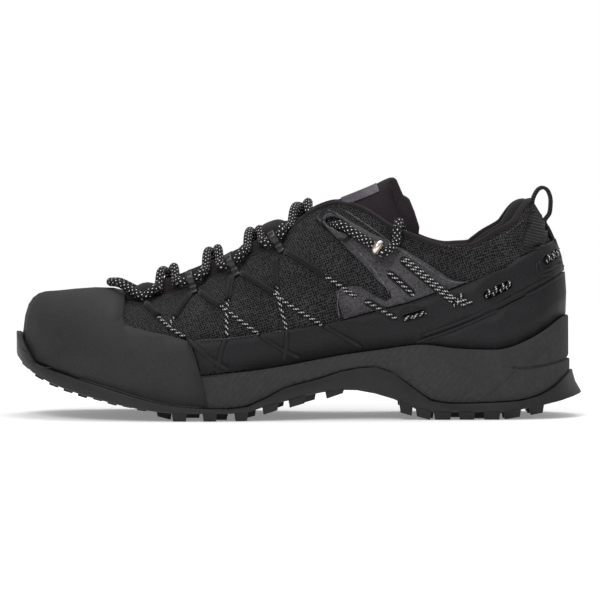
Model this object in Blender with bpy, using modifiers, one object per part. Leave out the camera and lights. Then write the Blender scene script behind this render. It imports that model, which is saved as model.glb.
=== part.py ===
"""Approach shoe, the left one of a pair, laced and standing empty on its sole.

Metres, +Z up, toe towards -X, outer (lateral) side towards -Y. The origin is on the floor under
the middle of the heel. Tables hold shares: "along" is a share of LENGTH from the toe, "high" a
share of STACK above the floor, "rise" a share of RISE above STACK, "half" a share of WIDTH.
"""
import math
from collections import namedtuple

import bmesh
import bpy
from mathutils import Matrix, Vector

# Driving dimensions
LENGTH = 0.298         # toe tip to heel back of the midsole
HEEL_BACK = 0.0505     # heel back behind the origin
WIDTH = 0.104          # across the ball
STACK = 0.040          # midsole height at the waist
RISE = 0.0755          # from the midsole to the top of the instep
GAP = 0.0003           # between pieces that touch
WELT = 0.0045          # midsole edge to the upper
WALL = 0.0020          # upper
SKIN = 0.0012          # film and rubber on the upper
FILM = 0.0008          # grey film on the upper
TRAY_WALL = 0.0022     # outsole rim
PLATE_THICKNESS = 0.0022
FLARE = 0.0050         # outsole beyond the midsole at the heel
GROOVE = 0.0013        # depth of the line round the heel of the midsole
INSOLE_THICKNESS = 0.0040
TONGUE_THICKNESS = 0.0032
LACE = 0.0046          # lace diameter
SIDE_CORD = 0.0016     # thin cord on the side
RING_BORE = 0.0058
RING_WIRE = 0.0018
WEBBING = 0.0020       # webbing thickness
LUG_WIDTH = 0.0085

LATERAL, MEDIAL = -1, 1

Plan = namedtuple("Plan", "along lateral medial")
PLAN = [
    Plan(0.000, -0.077, 0.077), Plan(0.020, 0.170, 0.280), Plan(0.060, 0.308, 0.395),
    Plan(0.120, 0.405, 0.460), Plan(0.200, 0.462, 0.487), Plan(0.280, 0.492, 0.482),
    Plan(0.360, 0.490, 0.447), Plan(0.460, 0.450, 0.375), Plan(0.560, 0.405, 0.320),
    Plan(0.660, 0.372, 0.315), Plan(0.760, 0.362, 0.340), Plan(0.860, 0.350, 0.345),
    Plan(0.930, 0.305, 0.305), Plan(0.975, 0.210, 0.210), Plan(1.000, 0.000, 0.000),
]

Line = namedtuple("Line", "along value")


def line(*rows):
    return [Line(*row) for row in rows]


# Height of the tread, of the plate between the lugs, and of the outsole's upper edge
TREAD = line((0.210, 0.125), (0.253, 0.050), (0.280, 0.0), (0.414, 0.0), (0.445, 0.085), (0.475, 0.143),
             (0.515, 0.217), (0.555, 0.285), (0.592, 0.358), (0.686, 0.100), (0.720, 0.040), (0.743, 0.0),
             (0.869, 0.0), (0.904, 0.035), (0.948, 0.085), (0.978, 0.160))
PLATE = line((0.0, 0.787), (0.025, 0.637), (0.065, 0.475), (0.112, 0.360), (0.169, 0.250), (0.210, 0.180),
             (0.253, 0.130), (0.294, 0.100), (0.408, 0.100), (0.445, 0.180), (0.475, 0.237), (0.515, 0.312),
             (0.555, 0.375), (0.592, 0.405), (0.616, 0.392), (0.643, 0.352), (0.676, 0.280), (0.696, 0.205),
             (0.723, 0.135), (0.747, 0.100), (0.869, 0.100), (0.904, 0.130), (0.948, 0.180), (0.978, 0.240),
             (1.0, 0.275))
RIM = line((0.0, 1.125), (0.008, 1.050), (0.022, 0.860), (0.032, 0.765), (0.045, 0.700), (0.072, 0.650),
           (0.112, 0.557), (0.166, 0.440), (0.213, 0.330), (0.257, 0.247), (0.297, 0.195), (0.344, 0.170),
           (0.378, 0.160), (0.411, 0.180), (0.441, 0.247), (0.461, 0.355), (0.488, 0.443), (0.545, 0.550),
           (0.599, 0.672), (0.643, 0.703), (0.666, 0.672), (0.683, 0.583), (0.713, 0.412), (0.730, 0.310),
           (0.747, 0.240), (0.780, 0.215), (0.894, 0.240), (0.945, 0.328), (0.968, 0.432), (0.988, 0.555),
           (1.0, 0.625))
# Midsole: upper edge of its side, the bed under the insole, and the line along its side
SIDE_TOP = line((0.0, 0.850), (0.039, 0.750), (0.092, 0.650), (0.146, 0.585), (0.210, 0.557), (0.277, 0.575),
                (0.337, 0.608), (0.414, 0.650), (0.485, 0.725), (0.586, 0.863), (0.673, 0.948), (0.716, 0.997),
                (0.733, 1.0), (0.777, 0.948), (0.831, 0.927), (0.871, 0.922), (0.901, 0.997), (0.945, 1.163),
                (0.985, 1.350), (1.0, 1.350))
BED = line((0.0, 0.850), (0.039, 0.750), (0.092, 0.650), (0.146, 0.585), (0.210, 0.557), (0.277, 0.575),
           (0.337, 0.608), (0.394, 0.640), (0.461, 0.655), (0.586, 0.700), (0.673, 0.738), (0.831, 0.762),
           (1.0, 0.775))
SIDE_LINE = line((0.0, 0.812), (0.146, 0.535), (0.337, 0.557), (0.485, 0.672), (0.586, 0.805), (0.673, 0.890),
                 (0.716, 0.930), (0.740, 0.925), (0.775, 0.868), (0.831, 0.775), (0.878, 0.672),
                 (0.898, 0.640), (0.968, 0.713), (1.0, 0.778))
# Shares of WELT: how far the upper and the midsole's side stand in from the outline
UPPER_INSET = line((0.0, 1.05), (0.040, 1.0), (0.120, 0.62), (0.345, 0.53), (0.370, 0.72), (0.410, 1.0),
                   (0.850, 1.0), (1.0, 1.12))
SIDE_INSET = line((0.0, 1.10), (0.040, 1.06), (0.120, 0.68), (0.345, 0.58), (0.385, 0.54), (0.425, 0.22),
                  (1.0, 0.22))
GROOVE_DEPTH = line((0.0, 0.0), (0.860, 0.0), (0.900, 1.0), (1.0, 1.0))
FLARE_SHARE = line((0.0, 0.0), (0.740, 0.0), (0.800, 0.12), (0.930, 0.30), (0.985, 1.0), (1.0, 1.0))
# The middle of the last, as a share of WIDTH towards the inner side
CENTRE = line((0.0, 0.077), (0.060, 0.072), (0.160, 0.048), (0.300, 0.018), (0.420, 0.0), (1.0, 0.0))

# The upper's columns, from the toe tip round to the back of the heel. foot is the share of the half
# turn round the sole; the last five shape the column between its foot and its edge.
Column = namedtuple("Column", "foot along half rise lean low high crown")
COLUMNS = [
    Column(0.000, 0.065, 0.000, 0.331, 0, 0.75, 0.30, 0),
    Column(0.087, 0.086, 0.000, 0.335, 2, 0.66, 0.36, 0),
    Column(0.165, 0.112, 0.000, 0.348, 4, 0.56, 0.44, 0),
    Column(0.231, 0.149, 0.000, 0.358, 5, 0.52, 0.48, 2),
    Column(0.287, 0.191, 0.000, 0.348, 6, 0.50, 0.46, 4),
    Column(0.303, 0.201, 0.087, 0.297, 6, 0.48, 0.36, 16),
    Column(0.336, 0.247, 0.120, 0.305, 7, 0.46, 0.34, 22),
    Column(0.369, 0.300, 0.135, 0.375, 7, 0.46, 0.34, 24),
    Column(0.410, 0.367, 0.144, 0.477, 7, 0.46, 0.34, 28),
    Column(0.450, 0.428, 0.154, 0.613, 6, 0.46, 0.33, 33),
    Column(0.484, 0.482, 0.163, 0.742, 5, 0.46, 0.32, 38),
    Column(0.514, 0.525, 0.173, 0.907, 4, 0.46, 0.32, 44),
    Column(0.544, 0.576, 0.192, 0.987, 3, 0.45, 0.32, 50),
    Column(0.574, 0.622, 0.221, 0.940, 2, 0.44, 0.32, 56),
    Column(0.601, 0.669, 0.250, 0.821, 1, 0.42, 0.30, 62),
    Column(0.633, 0.716, 0.274, 0.746, 0, 0.40, 0.30, 70),
    Column(0.677, 0.770, 0.284, 0.678, 0, 0.40, 0.30, 76),
    Column(0.719, 0.817, 0.279, 0.689, 0, 0.40, 0.30, 78),
    Column(0.766, 0.857, 0.260, 0.774, 0, 0.40, 0.30, 76),
    Column(0.823, 0.891, 0.212, 0.848, 0, 0.40, 0.34, 70),
    Column(0.880, 0.909, 0.135, 0.940, 1, 0.40, 0.38, 64),
    Column(0.936, 0.921, 0.067, 0.984, 3, 0.40, 0.40, 60),
    Column(1.000, 0.928, 0.000, 0.993, 4, 0.42, 0.40, 58),
]

Corner = namedtuple("Corner", "along rise")


def corners(*rows):
    return [Corner(*row) for row in rows]


# Side outlines of the pieces that lie on the upper
RAND_REAR = corners((0.199, 0.60), (0.199, 0.185), (0.203, 0.136), (0.236, 0.100), (0.283, 0.065),
                    (0.315, 0.029), (0.321, 0.001), (0.330, -0.109), (0.337, -0.205), (0.342, -0.304),
                    (0.349, -0.431), (0.353, -0.515))
PANEL_TOP = corners((0.313, 0.040), (0.380, 0.058), (0.437, 0.079), (0.488, 0.111), (0.550, 0.143),
                    (0.588, 0.172), (0.658, 0.246), (0.704, 0.291), (0.750, 0.355), (0.773, 0.373),
                    (0.823, 0.451), (0.877, 0.539), (0.894, 0.596), (0.919, 0.639), (0.938, 0.674),
                    (0.978, 0.745), (1.020, 0.770))
COUNTER_TOP = corners((0.716, 0.015), (0.773, 0.093), (0.831, 0.185), (0.931, 0.377), (0.981, 0.490),
                      (1.020, 0.545))
FILM_EDGE = corners((0.567, 0.780), (0.537, 0.883), (0.559, 0.946), (0.576, 0.915), (0.599, 0.860),
                    (0.635, 0.780), (0.665, 0.724), (0.692, 0.667), (0.726, 0.589), (0.754, 0.518),
                    (0.780, 0.447), (0.800, 0.435), (0.815, 0.450))
FILM_FORK = corners((0.573, 0.372), (0.590, 0.398), (0.603, 0.408), (0.617, 0.405), (0.645, 0.336),
                    (0.663, 0.300), (0.673, 0.320), (0.672, 0.362), (0.649, 0.445), (0.631, 0.525),
                    (0.603, 0.634))
WEBBING_STRIP = corners((0.927, 0.975), (0.923, 0.880), (0.910, 0.665), (0.936, 0.695), (0.950, 0.775),
                        (0.948, 0.870), (0.942, 0.960))

# The tongue's ridge: half width, drop of its edge and how far the edge sweeps back
Ridge = namedtuple("Ridge", "along rise half drop sweep")
TONGUE = [
    Ridge(0.166, 0.270, 0.060, 0.050, 0.000), Ridge(0.200, 0.292, 0.100, 0.150, 0.000),
    Ridge(0.225, 0.372, 0.140, 0.300, 0.000), Ridge(0.260, 0.425, 0.170, 0.360, 0.000),
    Ridge(0.310, 0.505, 0.185, 0.340, 0.000), Ridge(0.369, 0.605, 0.200, 0.355, 0.000),
    Ridge(0.438, 0.730, 0.205, 0.290, 0.000), Ridge(0.485, 0.822, 0.210, 0.280, 0.004),
    Ridge(0.539, 0.950, 0.220, 0.300, 0.008), Ridge(0.580, 1.010, 0.228, 0.330, 0.014),
    Ridge(0.625, 1.080, 0.190, 0.345, 0.026), Ridge(0.672, 1.160, 0.150, 0.300, 0.034),
]

# The lace: its turns on each side, its slot in the film and its ring. down is the share of the
# column below the upper's edge.
Turn = namedtuple("Turn", "along down")
FIRST_TURN = Turn(0.233, 0.08)
LOOP_TURNS = [Turn(0.323, 0.06), Turn(0.396, 0.05), Turn(0.473, 0.05)]
Spot = namedtuple("Spot", "along rise")
LACE_SLOT = Spot(0.576, 0.835)
RING_SPOT = Spot(0.646, 0.650)
LOOP_WIDTH = 0.0038
LOOP_TAB = 0.0085      # from the lace down to the end of the loop's tab
SLOT_LENGTH, SLOT_WIDTH, SLOT_DEPTH = 0.0142, 0.0074, 0.012

# The thin cords: from the loops down to the side panel
SIDE_CORDS = [
    corners((0.237, 0.270), (0.276, 0.155), (0.316, 0.065)),
    corners((0.318, 0.315), (0.287, 0.175), (0.279, 0.100)),
    corners((0.318, 0.315), (0.369, 0.260), (0.385, 0.205), (0.436, 0.100)),
    corners((0.392, 0.430), (0.383, 0.240), (0.380, 0.085)),
    corners((0.392, 0.430), (0.465, 0.360), (0.488, 0.300), (0.548, 0.165)),
    corners((0.468, 0.590), (0.466, 0.455), (0.474, 0.360), (0.487, 0.135)),
    corners((0.468, 0.590), (0.549, 0.480), (0.566, 0.435)),
]

def smooth(rows, value, where, key):
    """A monotone cubic through a table, by the named column of its rows."""
    xs = [key(row) for row in rows]
    ys = [value(row) for row in rows]
    if where <= xs[0]:
        return ys[0]
    if where >= xs[-1]:
        return ys[-1]
    i = max(k for k in range(len(xs) - 1) if xs[k] <= where)
    slopes = [(ys[k + 1] - ys[k]) / (xs[k + 1] - xs[k]) for k in range(len(xs) - 1)]

    def tangent(k):
        if k == 0:
            return slopes[0]
        if k == len(xs) - 1:
            return slopes[-1]
        before, after = slopes[k - 1], slopes[k]
        if before * after <= 0:
            return 0.0
        return 2 * before * after / (before + after)

    width = xs[i + 1] - xs[i]
    t = (where - xs[i]) / width
    return ((1 + 2 * t) * (1 - t) ** 2 * ys[i] + t * (1 - t) ** 2 * width * tangent(i)
            + t * t * (3 - 2 * t) * ys[i + 1] + t * t * (t - 1) * width * tangent(i + 1))


def read(rows, along):
    return smooth(rows, lambda row: row.value, along, lambda row: row.along)


def x_at(along):
    return HEEL_BACK - (1 - along) * LENGTH


def along_at(x):
    return 1 - (HEEL_BACK - x) / LENGTH


def z_high(share):
    return share * STACK


def z_rise(share):
    return STACK + share * RISE


def half_turn(along):
    return math.acos(max(-1.0, min(1.0, 1 - 2 * along))) / math.pi


def along_of(turn):
    return (1 - math.cos(math.pi * turn)) / 2


def centre_y(along):
    return read(CENTRE, along) * WIDTH


def outline(turn, side):
    """A point of the midsole's outline; turn runs 0 to 1 from the toe to the heel."""
    column = (lambda row: row.lateral) if side == LATERAL else (lambda row: row.medial)
    half = smooth(PLAN, column, turn, lambda row: half_turn(row.along))
    return Vector((x_at(along_of(turn)), side * half * WIDTH, 0.0))


def inset_point(turn, side, inset):
    """The outline moved in by inset, square to itself."""
    step = 0.004
    low, high = max(0.0, turn - step), min(1.0, turn + step)
    if turn <= step:
        inward = Vector((1.0, 0.0, 0.0))
    elif turn >= 1 - step:
        inward = Vector((-1.0, 0.0, 0.0))
    else:
        tangent = (outline(high, side) - outline(low, side)).normalized()
        inward = Vector((tangent.y, -tangent.x, 0.0)) * side
    return outline(turn, side) + inward * inset


END_STEPS = [0.0, 0.04, 0.08, 0.12, 0.16]
MIDDLE_STEPS = 25


def stations():
    """Shares of the half turn: close at both ends, even along the middle."""
    first, last = along_of(0.20), 1 - along_of(0.20)
    middle = [half_turn(first + (last - first) * k / MIDDLE_STEPS) for k in range(MIDDLE_STEPS + 1)]
    return END_STEPS + middle + [1 - step for step in reversed(END_STEPS)]


def ring(inset, height, by_point=False):
    """A closed loop of points round the sole; inset and height are functions of along."""
    turns = stations()

    def point(turn, side):
        spot = inset_point(turn, side, inset(along_of(turn)))
        spot.z = height(along_at(spot.x) if by_point else along_of(turn))
        return spot

    lateral = [point(turn, LATERAL) for turn in turns]
    medial = [point(turn, MEDIAL) for turn in turns[1:-1]]
    return lateral + medial[::-1]


def sheet_to_object(name, verts, faces):
    mesh = bpy.data.meshes.new(name)
    mesh.from_pydata([tuple(v) for v in verts], [], faces)
    work = bmesh.new()
    work.from_mesh(mesh)
    bmesh.ops.remove_doubles(work, verts=work.verts, dist=0.00002)
    bmesh.ops.recalc_face_normals(work, faces=work.faces)
    work.to_mesh(mesh)
    work.free()
    return bpy.data.objects.new(name, mesh)


def ring_solid(name, rings):
    """A closed body through loops of one length, its first and last loop filled across."""
    count = len(rings[0])
    verts = [point for loop in rings for point in loop]
    faces = []
    for row in range(len(rings) - 1):
        for k in range(count):
            after = (k + 1) % count
            faces.append((row * count + k, row * count + after,
                          (row + 1) * count + after, (row + 1) * count + k))
    for row in (0, len(rings) - 1):
        base = row * count
        for k in range(count // 2):
            near, far = base + k, base + k + 1
            across_near, across_far = base + (count - k) % count, base + count - k - 1
            quad = [near, far, across_far, across_near]
            faces.append(tuple(dict.fromkeys(quad)))
    return sheet_to_object(name, verts, faces)


def material(name, colour, roughness, metallic=0.0):
    made = bpy.data.materials.new(name)
    made.use_nodes = True
    shader = made.node_tree.nodes["Principled BSDF"]
    shader.inputs["Base Color"].default_value = (*colour, 1.0)
    shader.inputs["Roughness"].default_value = roughness
    shader.inputs["Metallic"].default_value = metallic
    made.diffuse_color = (*colour, 1.0)
    return made


def finish(obj, collection, finish_material, angle=40):
    if obj.name not in collection.objects:
        collection.objects.link(obj)
    obj.data.materials.clear()
    obj.data.materials.append(finish_material)
    obj.data.shade_smooth()
    obj.data.set_sharp_from_angle(angle=math.radians(angle))
    return obj


def cutter(obj, collection):
    collection.objects.link(obj)
    obj.hide_render = True
    obj.display_type = "WIRE"
    return obj


def boolean(obj, tool, operation):
    modifier = obj.modifiers.new(operation.lower(), "BOOLEAN")
    modifier.object = tool
    modifier.operation = operation
    modifier.solver = "EXACT"
    return obj


def applied(obj, collection):
    """The object's evaluated mesh as its own mesh, with no modifiers left."""
    bpy.context.view_layer.update()
    graph = bpy.context.evaluated_depsgraph_get()
    mesh = bpy.data.meshes.new_from_object(obj.evaluated_get(graph))
    work = bmesh.new()
    work.from_mesh(mesh)
    bmesh.ops.remove_doubles(work, verts=work.verts, dist=0.00001)
    work.to_mesh(mesh)
    work.free()
    made = bpy.data.objects.new(obj.name, mesh)
    made.matrix_world = obj.matrix_world
    name = obj.name
    bpy.data.objects.remove(obj)
    made.name = name
    collection.objects.link(made)
    return made


def side_prism(name, outline_points, y_low, y_high, collection):
    """A prism along Y with an outline in the XZ plane, as a cutter."""
    count = len(outline_points)
    verts = [(x, y_low, z) for x, z in outline_points] + [(x, y_high, z) for x, z in outline_points]
    faces = [tuple(range(count)), tuple(range(count, 2 * count))]
    faces += [(k, (k + 1) % count, count + (k + 1) % count, count + k) for k in range(count)]
    return cutter(sheet_to_object(name, verts, faces), collection)


def spots(rows, shift_x=0.0, shift_z=0.0):
    return [(x_at(row.along) + shift_x, z_rise(row.rise) + shift_z) for row in rows]


# Outsole

def tread_z(along):
    return z_high(read(TREAD, along))


def plate_z(along):
    return z_high(read(PLATE, along))


def rim_z(along):
    return z_high(read(RIM, along))


def tray_floor_z(along):
    return min(plate_z(along) + PLATE_THICKNESS, rim_z(along) - 0.0008)


def flare(along):
    return read(FLARE_SHARE, along) * FLARE


Block = namedtuple("Block", "start end")
EDGE_LUGS = [Block(0.285, 0.312), Block(0.339, 0.365), Block(0.395, 0.420), Block(0.444, 0.474),
             Block(0.490, 0.522), Block(0.555, 0.590), Block(0.687, 0.711), Block(0.716, 0.744),
             Block(0.748, 0.780), Block(0.792, 0.822), Block(0.836, 0.867), Block(0.872, 0.904),
             Block(0.919, 0.945)]
INNER_LUGS = [Block(0.256, 0.284), Block(0.304, 0.334), Block(0.354, 0.384), Block(0.404, 0.434),
              Block(0.454, 0.484), Block(0.510, 0.540), Block(0.722, 0.750), Block(0.770, 0.798),
              Block(0.818, 0.850), Block(0.870, 0.898), Block(0.916, 0.940)]
INNER_ROWS = ((-0.40, 0.40), (-0.22, 0.22), (-0.42, 0.0, 0.42))
INNER_REACH = 0.0046   # half the width of an inner lug
LUG_TAPER = 0.82


def lug(work, start, end, y_low, y_high):
    """One lug: a block that narrows to the tread and follows its rise."""
    made = bmesh.ops.create_cube(work, size=1.0)["verts"]
    middle_x, middle_y = (x_at(start) + x_at(end)) / 2, (y_low + y_high) / 2
    for vert in made:
        low = vert.co.z < 0
        shrink = LUG_TAPER if low else 1.0
        along = start if vert.co.x < 0 else end
        vert.co.x = middle_x + (x_at(along) - middle_x) * shrink
        vert.co.y = middle_y + ((y_low if vert.co.y < 0 else y_high) - middle_y) * shrink
        if low:
            vert.co.z = tread_z(along)
        else:
            vert.co.z = (plate_z(along) + tray_floor_z(along)) / 2


def lug_blocks(collection):
    mesh = bpy.data.meshes.new("lug_blocks")
    work = bmesh.new()
    for block in EDGE_LUGS:
        for side in (LATERAL, MEDIAL):
            edges = [inset_point(half_turn(along), side, 0.0).y for along in block]
            edge = side * (min(side * y for y in edges) - 0.0012)
            inner = edge - side * LUG_WIDTH
            lug(work, block.start, block.end, min(edge, inner), max(edge, inner))
    for index, block in enumerate(INNER_LUGS):
        middle = (block.start + block.end) / 2
        low = inset_point(half_turn(middle), LATERAL, LUG_WIDTH + 0.0045).y
        high = inset_point(half_turn(middle), MEDIAL, LUG_WIDTH + 0.0045).y
        for row in INNER_ROWS[index % len(INNER_ROWS)]:
            centre = (low + high) / 2 + row * (high - low)
            centre = max(low + INNER_REACH, min(high - INNER_REACH, centre))
            lug(work, block.start, block.end, centre - INNER_REACH, centre + INNER_REACH)
    work.to_mesh(mesh)
    work.free()
    return cutter(bpy.data.objects.new("lug_blocks", mesh), collection)


def part_way_up(share):
    """The height a share of the way from the plate's underside to the rim, at a place along the sole."""
    return lambda along: plate_z(along) + share * (rim_z(along) - plate_z(along))


def outsole(parts, cutters, rubber):
    body = ring_solid("outsole", [
        ring(lambda along: 0.0022, plate_z),
        ring(lambda along: -flare(along), part_way_up(0.14)),
        ring(lambda along: -0.35 * flare(along), part_way_up(0.55)),
        ring(lambda along: 0.0, rim_z),
        ring(lambda along: TRAY_WALL, rim_z),
        ring(lambda along: TRAY_WALL + 0.0001, tray_floor_z, by_point=True),
    ])
    parts.objects.link(body)
    boolean(body, lug_blocks(cutters), "UNION")
    return finish(applied(body, parts), parts, rubber, 30)


# Midsole

def side_top_z(along):
    return z_high(read(SIDE_TOP, along))


def bed_z(along):
    return z_high(read(BED, along))


def line_z(along):
    return z_high(read(SIDE_LINE, along))


def upper_inset(along):
    return read(UPPER_INSET, along) * WELT


def side_inset(along):
    return read(SIDE_INSET, along) * WELT


UNDER_RAND = 0.350     # the rand covers the midsole's side up to here


def lap_z(along):
    """Where the midsole steps out over the outsole's rim; ahead of the rand's end it stays below."""
    if along > UNDER_RAND:
        return rim_z(along) + GAP
    return min(rim_z(along) - 0.0006, side_top_z(along) - 0.0040)


def midsole(parts, foam):
    step = 0.0006
    inner = TRAY_WALL + GAP

    def groove_inset(along):
        return side_inset(along) + step * 0.3 + read(GROOVE_DEPTH, along) * GROOVE

    def cup_inset(along):
        return max(upper_inset(along) - 1.5 * GAP, side_inset(along) + 0.0020)

    def above(along, most, share):
        return line_z(along) + min(most, share * (side_top_z(along) - line_z(along)))

    body = ring_solid("midsole", [
        ring(lambda along: max(inner + 0.0004, side_inset(along) + 0.0006),
             lambda along: tray_floor_z(along) + GAP, by_point=True),
        ring(lambda along: max(inner + 0.0001, side_inset(along) + 0.0002), lap_z),
        ring(side_inset, lambda along: lap_z(along) + 0.0001),
        ring(side_inset, line_z, by_point=True),
        ring(groove_inset, lambda along: above(along, 0.0007, 0.25), by_point=True),
        ring(groove_inset, lambda along: above(along, 0.0014, 0.40), by_point=True),
        ring(lambda along: side_inset(along) + step, lambda along: above(along, 0.0021, 0.55), by_point=True),
        ring(lambda along: side_inset(along) + step * 1.3, lambda along: side_top_z(along) - 0.0004,
             by_point=True),
        ring(lambda along: side_inset(along) + step * 2.2, side_top_z, by_point=True),
        ring(lambda along: cup_inset(along) - 0.0001, side_top_z, by_point=True),
        ring(cup_inset, bed_z, by_point=True),
    ])
    return finish(body, parts, foam, 30)


def insole(parts, foam):
    edge = WALL + GAP * 3

    def under(along):
        return bed_z(along) + GAP

    def over(along):
        return bed_z(along) + GAP + INSOLE_THICKNESS

    body = ring_solid("insole", [
        ring(lambda along: upper_inset(along) + edge + 0.0010, under, by_point=True),
        ring(lambda along: upper_inset(along) + edge, lambda along: under(along) + 0.0010, by_point=True),
        ring(lambda along: upper_inset(along) + edge, lambda along: over(along) - 0.0010, by_point=True),
        ring(lambda along: upper_inset(along) + edge + 0.0010, over, by_point=True),
    ])
    return finish(body, parts, foam, 50)


# Upper

def column_at(t):
    """The column between two rows of the table, by its number."""
    values = []
    for field in Column._fields:
        rows = [(k, getattr(column, field)) for k, column in enumerate(COLUMNS)]
        values.append(smooth(rows, lambda row: row[1], t, lambda row: row[0]))
    return Column(*values)


def edge_point(t, side):
    column = column_at(t)
    y = centre_y(column.along) + side * column.half * WIDTH
    return Vector((x_at(column.along), y, z_rise(column.rise)))


def foot_point(t, side):
    turn = column_at(t).foot
    spot = inset_point(turn, side, upper_inset(along_of(turn)))
    spot.z = bed_z(along_at(spot.x)) + GAP
    return spot


def knee_point(t, side):
    """Where a column leaves the midsole's edge."""
    spot = foot_point(t, side)
    spot.z = max(spot.z + 0.0010, side_top_z(along_at(spot.x)) + 2 * GAP)
    return spot


def upper_point(t, side, h):
    """The upper's outer face. h is -1 at the foot, 0 at the midsole's edge and 1 at the top edge."""
    knee = knee_point(t, side)
    if h <= 0:
        return knee.lerp(foot_point(t, side), -h)
    column = column_at(t)
    edge = edge_point(t, side)
    outward = (outline(column.foot, side) - knee).normalized()
    outward.z = 0.0
    outward.normalize()
    to_foot = Vector((knee.x - edge.x, knee.y - edge.y, 0.0))
    blend = min(1.0, column.crown / 60.0)
    if to_foot.length > 0.001:
        inner_dir = (to_foot.normalized() * (1 - blend) + outward * blend).normalized()
    else:
        inner_dir = outward
    chord = (edge - knee).length
    lean, crown = math.radians(column.lean), math.radians(column.crown)
    first = knee + (outward * math.sin(lean) + Vector((0, 0, math.cos(lean)))) * column.low * chord
    second = edge + (inner_dir * math.cos(crown) - Vector((0, 0, math.sin(crown)))) * column.high * chord
    return (knee * (1 - h) ** 3 + first * 3 * h * (1 - h) ** 2
            + second * 3 * h * h * (1 - h) + edge * h ** 3)


def upper_normal(t, side, h):
    last = len(COLUMNS) - 1
    step_t, step_h = 0.05, 0.02
    back, ahead = max(0.0, t - step_t), min(float(last), t + step_t)
    low, high = max(0.0, h - step_h), min(1.0, h + step_h)
    run = upper_point(ahead, side, h) - upper_point(back, side, h)
    if t <= step_t or t >= last - step_t:
        # on the seam between the sides the surface is square to the middle plane
        run = Vector((0.0, 1.0 if t <= step_t else -1.0, 0.0)) * side
    climb = upper_point(t, side, high) - upper_point(t, side, low)
    return run.cross(climb).normalized() * -side


UPPER_COLUMNS = 31
UPPER_ROWS = (-1.0, 0.0, 0.16, 0.32, 0.48, 0.62, 0.75, 0.88, 1.0)


def column_numbers(first=0.0, last=None):
    """The columns of the upper's mesh between two rows of the table; all pieces share them."""
    end = len(COLUMNS) - 1
    last = end if last is None else last
    numbers = [end * k / UPPER_COLUMNS for k in range(UPPER_COLUMNS + 1)]
    return [t for t in numbers if first - 0.7 < t < last + 0.7]


def surface(name, numbers, rows, offset=0.0, drop=None, sides=(LATERAL, MEDIAL)):
    """An open sheet on the upper, offset outwards; drop adds a row at a lower edge."""
    verts, faces = [], []
    for side in sides:
        base = len(verts)
        heights = ([None] if drop else []) + list(rows)
        for t in numbers:
            for h in heights:
                spot = upper_point(t, side, max(h, 0.0) if h is not None else 0.0)
                if h is not None and h < 0:
                    spot = upper_point(t, side, h)
                out = upper_normal(t, side, max(0.02, h if h is not None else 0.02))
                if h is None or h <= 0:
                    out.z = 0.0
                    out.normalize()
                spot = spot + out * offset
                if h == 0 and offset > 0 and not drop:
                    reach = max(side_top_z(along_at(spot.x)), side_top_z(along_at(spot.x + out.x * SKIN)))
                    spot.z = max(spot.z, reach + 2 * GAP)
                if h is None:
                    spot.z = min(drop(along_of(column_at(t).foot)), spot.z - 0.0010)
                verts.append(spot)
        tall = len(heights)
        for k in range(len(numbers) - 1):
            for row in range(tall - 1):
                corner = base + k * tall + row
                quad = (corner, corner + tall, corner + tall + 1, corner + 1)
                faces.append(quad if side == LATERAL else quad[::-1])
    mesh = bpy.data.meshes.new(name)
    mesh.from_pydata([tuple(v) for v in verts], [], faces)
    work = bmesh.new()
    work.from_mesh(mesh)
    bmesh.ops.remove_doubles(work, verts=work.verts, dist=0.00005)
    work.to_mesh(mesh)
    work.free()
    return bpy.data.objects.new(name, mesh)


def thicken(obj, thickness, offset):
    modifier = obj.modifiers.new("wall", "SOLIDIFY")
    modifier.thickness = thickness
    modifier.offset = offset
    modifier.use_quality_normals = True
    modifier.use_even_offset = True
    return obj


def upper(parts, cutters, knit):
    shell = surface("upper", column_numbers(), UPPER_ROWS)
    thicken(shell, WALL, -1)
    boolean(shell, slot_cutter(cutters), "DIFFERENCE")
    parts.objects.link(shell)
    return finish(applied(shell, parts), parts, knit, 50)


OUTER_ROWS = (0.0, 0.16, 0.32, 0.48, 0.62, 0.75, 0.88, 1.0)
SEAM = 0.0004          # half the line between two neighbouring pieces


def overlay(name, collection, parts, region, y_range, thickness, look, numbers, rows=OUTER_ROWS, drop=None,
            sides=(LATERAL, MEDIAL)):
    """A piece of film or rubber: the upper's own surface, thickened, inside a side outline."""
    shell = surface(name, numbers, rows, GAP, drop, sides)
    thicken(shell, thickness, 1)
    boolean(shell, side_prism(name + "_outline", region, *y_range, collection), "INTERSECT")
    parts.objects.link(shell)
    return finish(applied(shell, parts), parts, look, 40)


FAR = 0.2


def toe_rand(parts, cutters, rubber):
    rear = spots(RAND_REAR, shift_x=-SEAM)
    region = [(-2 * FAR, rear[0][1]), *rear, (-2 * FAR, rear[-1][1])]
    return overlay("toe_rand", cutters, parts, region, (-FAR, FAR), SKIN, rubber,
                   column_numbers(0.0, 8.0), drop=lambda along: rim_z(along) + GAP)


def side_panel(parts, cutters, look, side, label):
    front = spots(RAND_REAR[5:], shift_x=SEAM)
    top = spots(PANEL_TOP, shift_z=-SEAM)
    counter = spots(COUNTER_TOP, shift_z=SEAM)
    region = top + counter[::-1] + [(counter[0][0] - 0.004, -0.01), (front[-1][0], -0.01)] + front[1:][::-1]
    y_range = (-FAR, -SEAM / 2) if side == LATERAL else (SEAM / 2, FAR)
    return overlay(f"side_panel_{label}", cutters, parts, region, y_range, SKIN, look,
                   column_numbers(7.0), sides=(side,))


def heel_counter(parts, cutters, look):
    edge = spots(COUNTER_TOP, shift_z=-SEAM)
    region = edge + [(edge[-1][0], 0.0), (edge[0][0] - 0.003, 0.0)]
    return overlay("heel_counter", cutters, parts, region, (-FAR, FAR), SKIN, look,
                   column_numbers(14.5), rows=(0.0, 0.16, 0.32, 0.48, 0.62))


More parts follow.
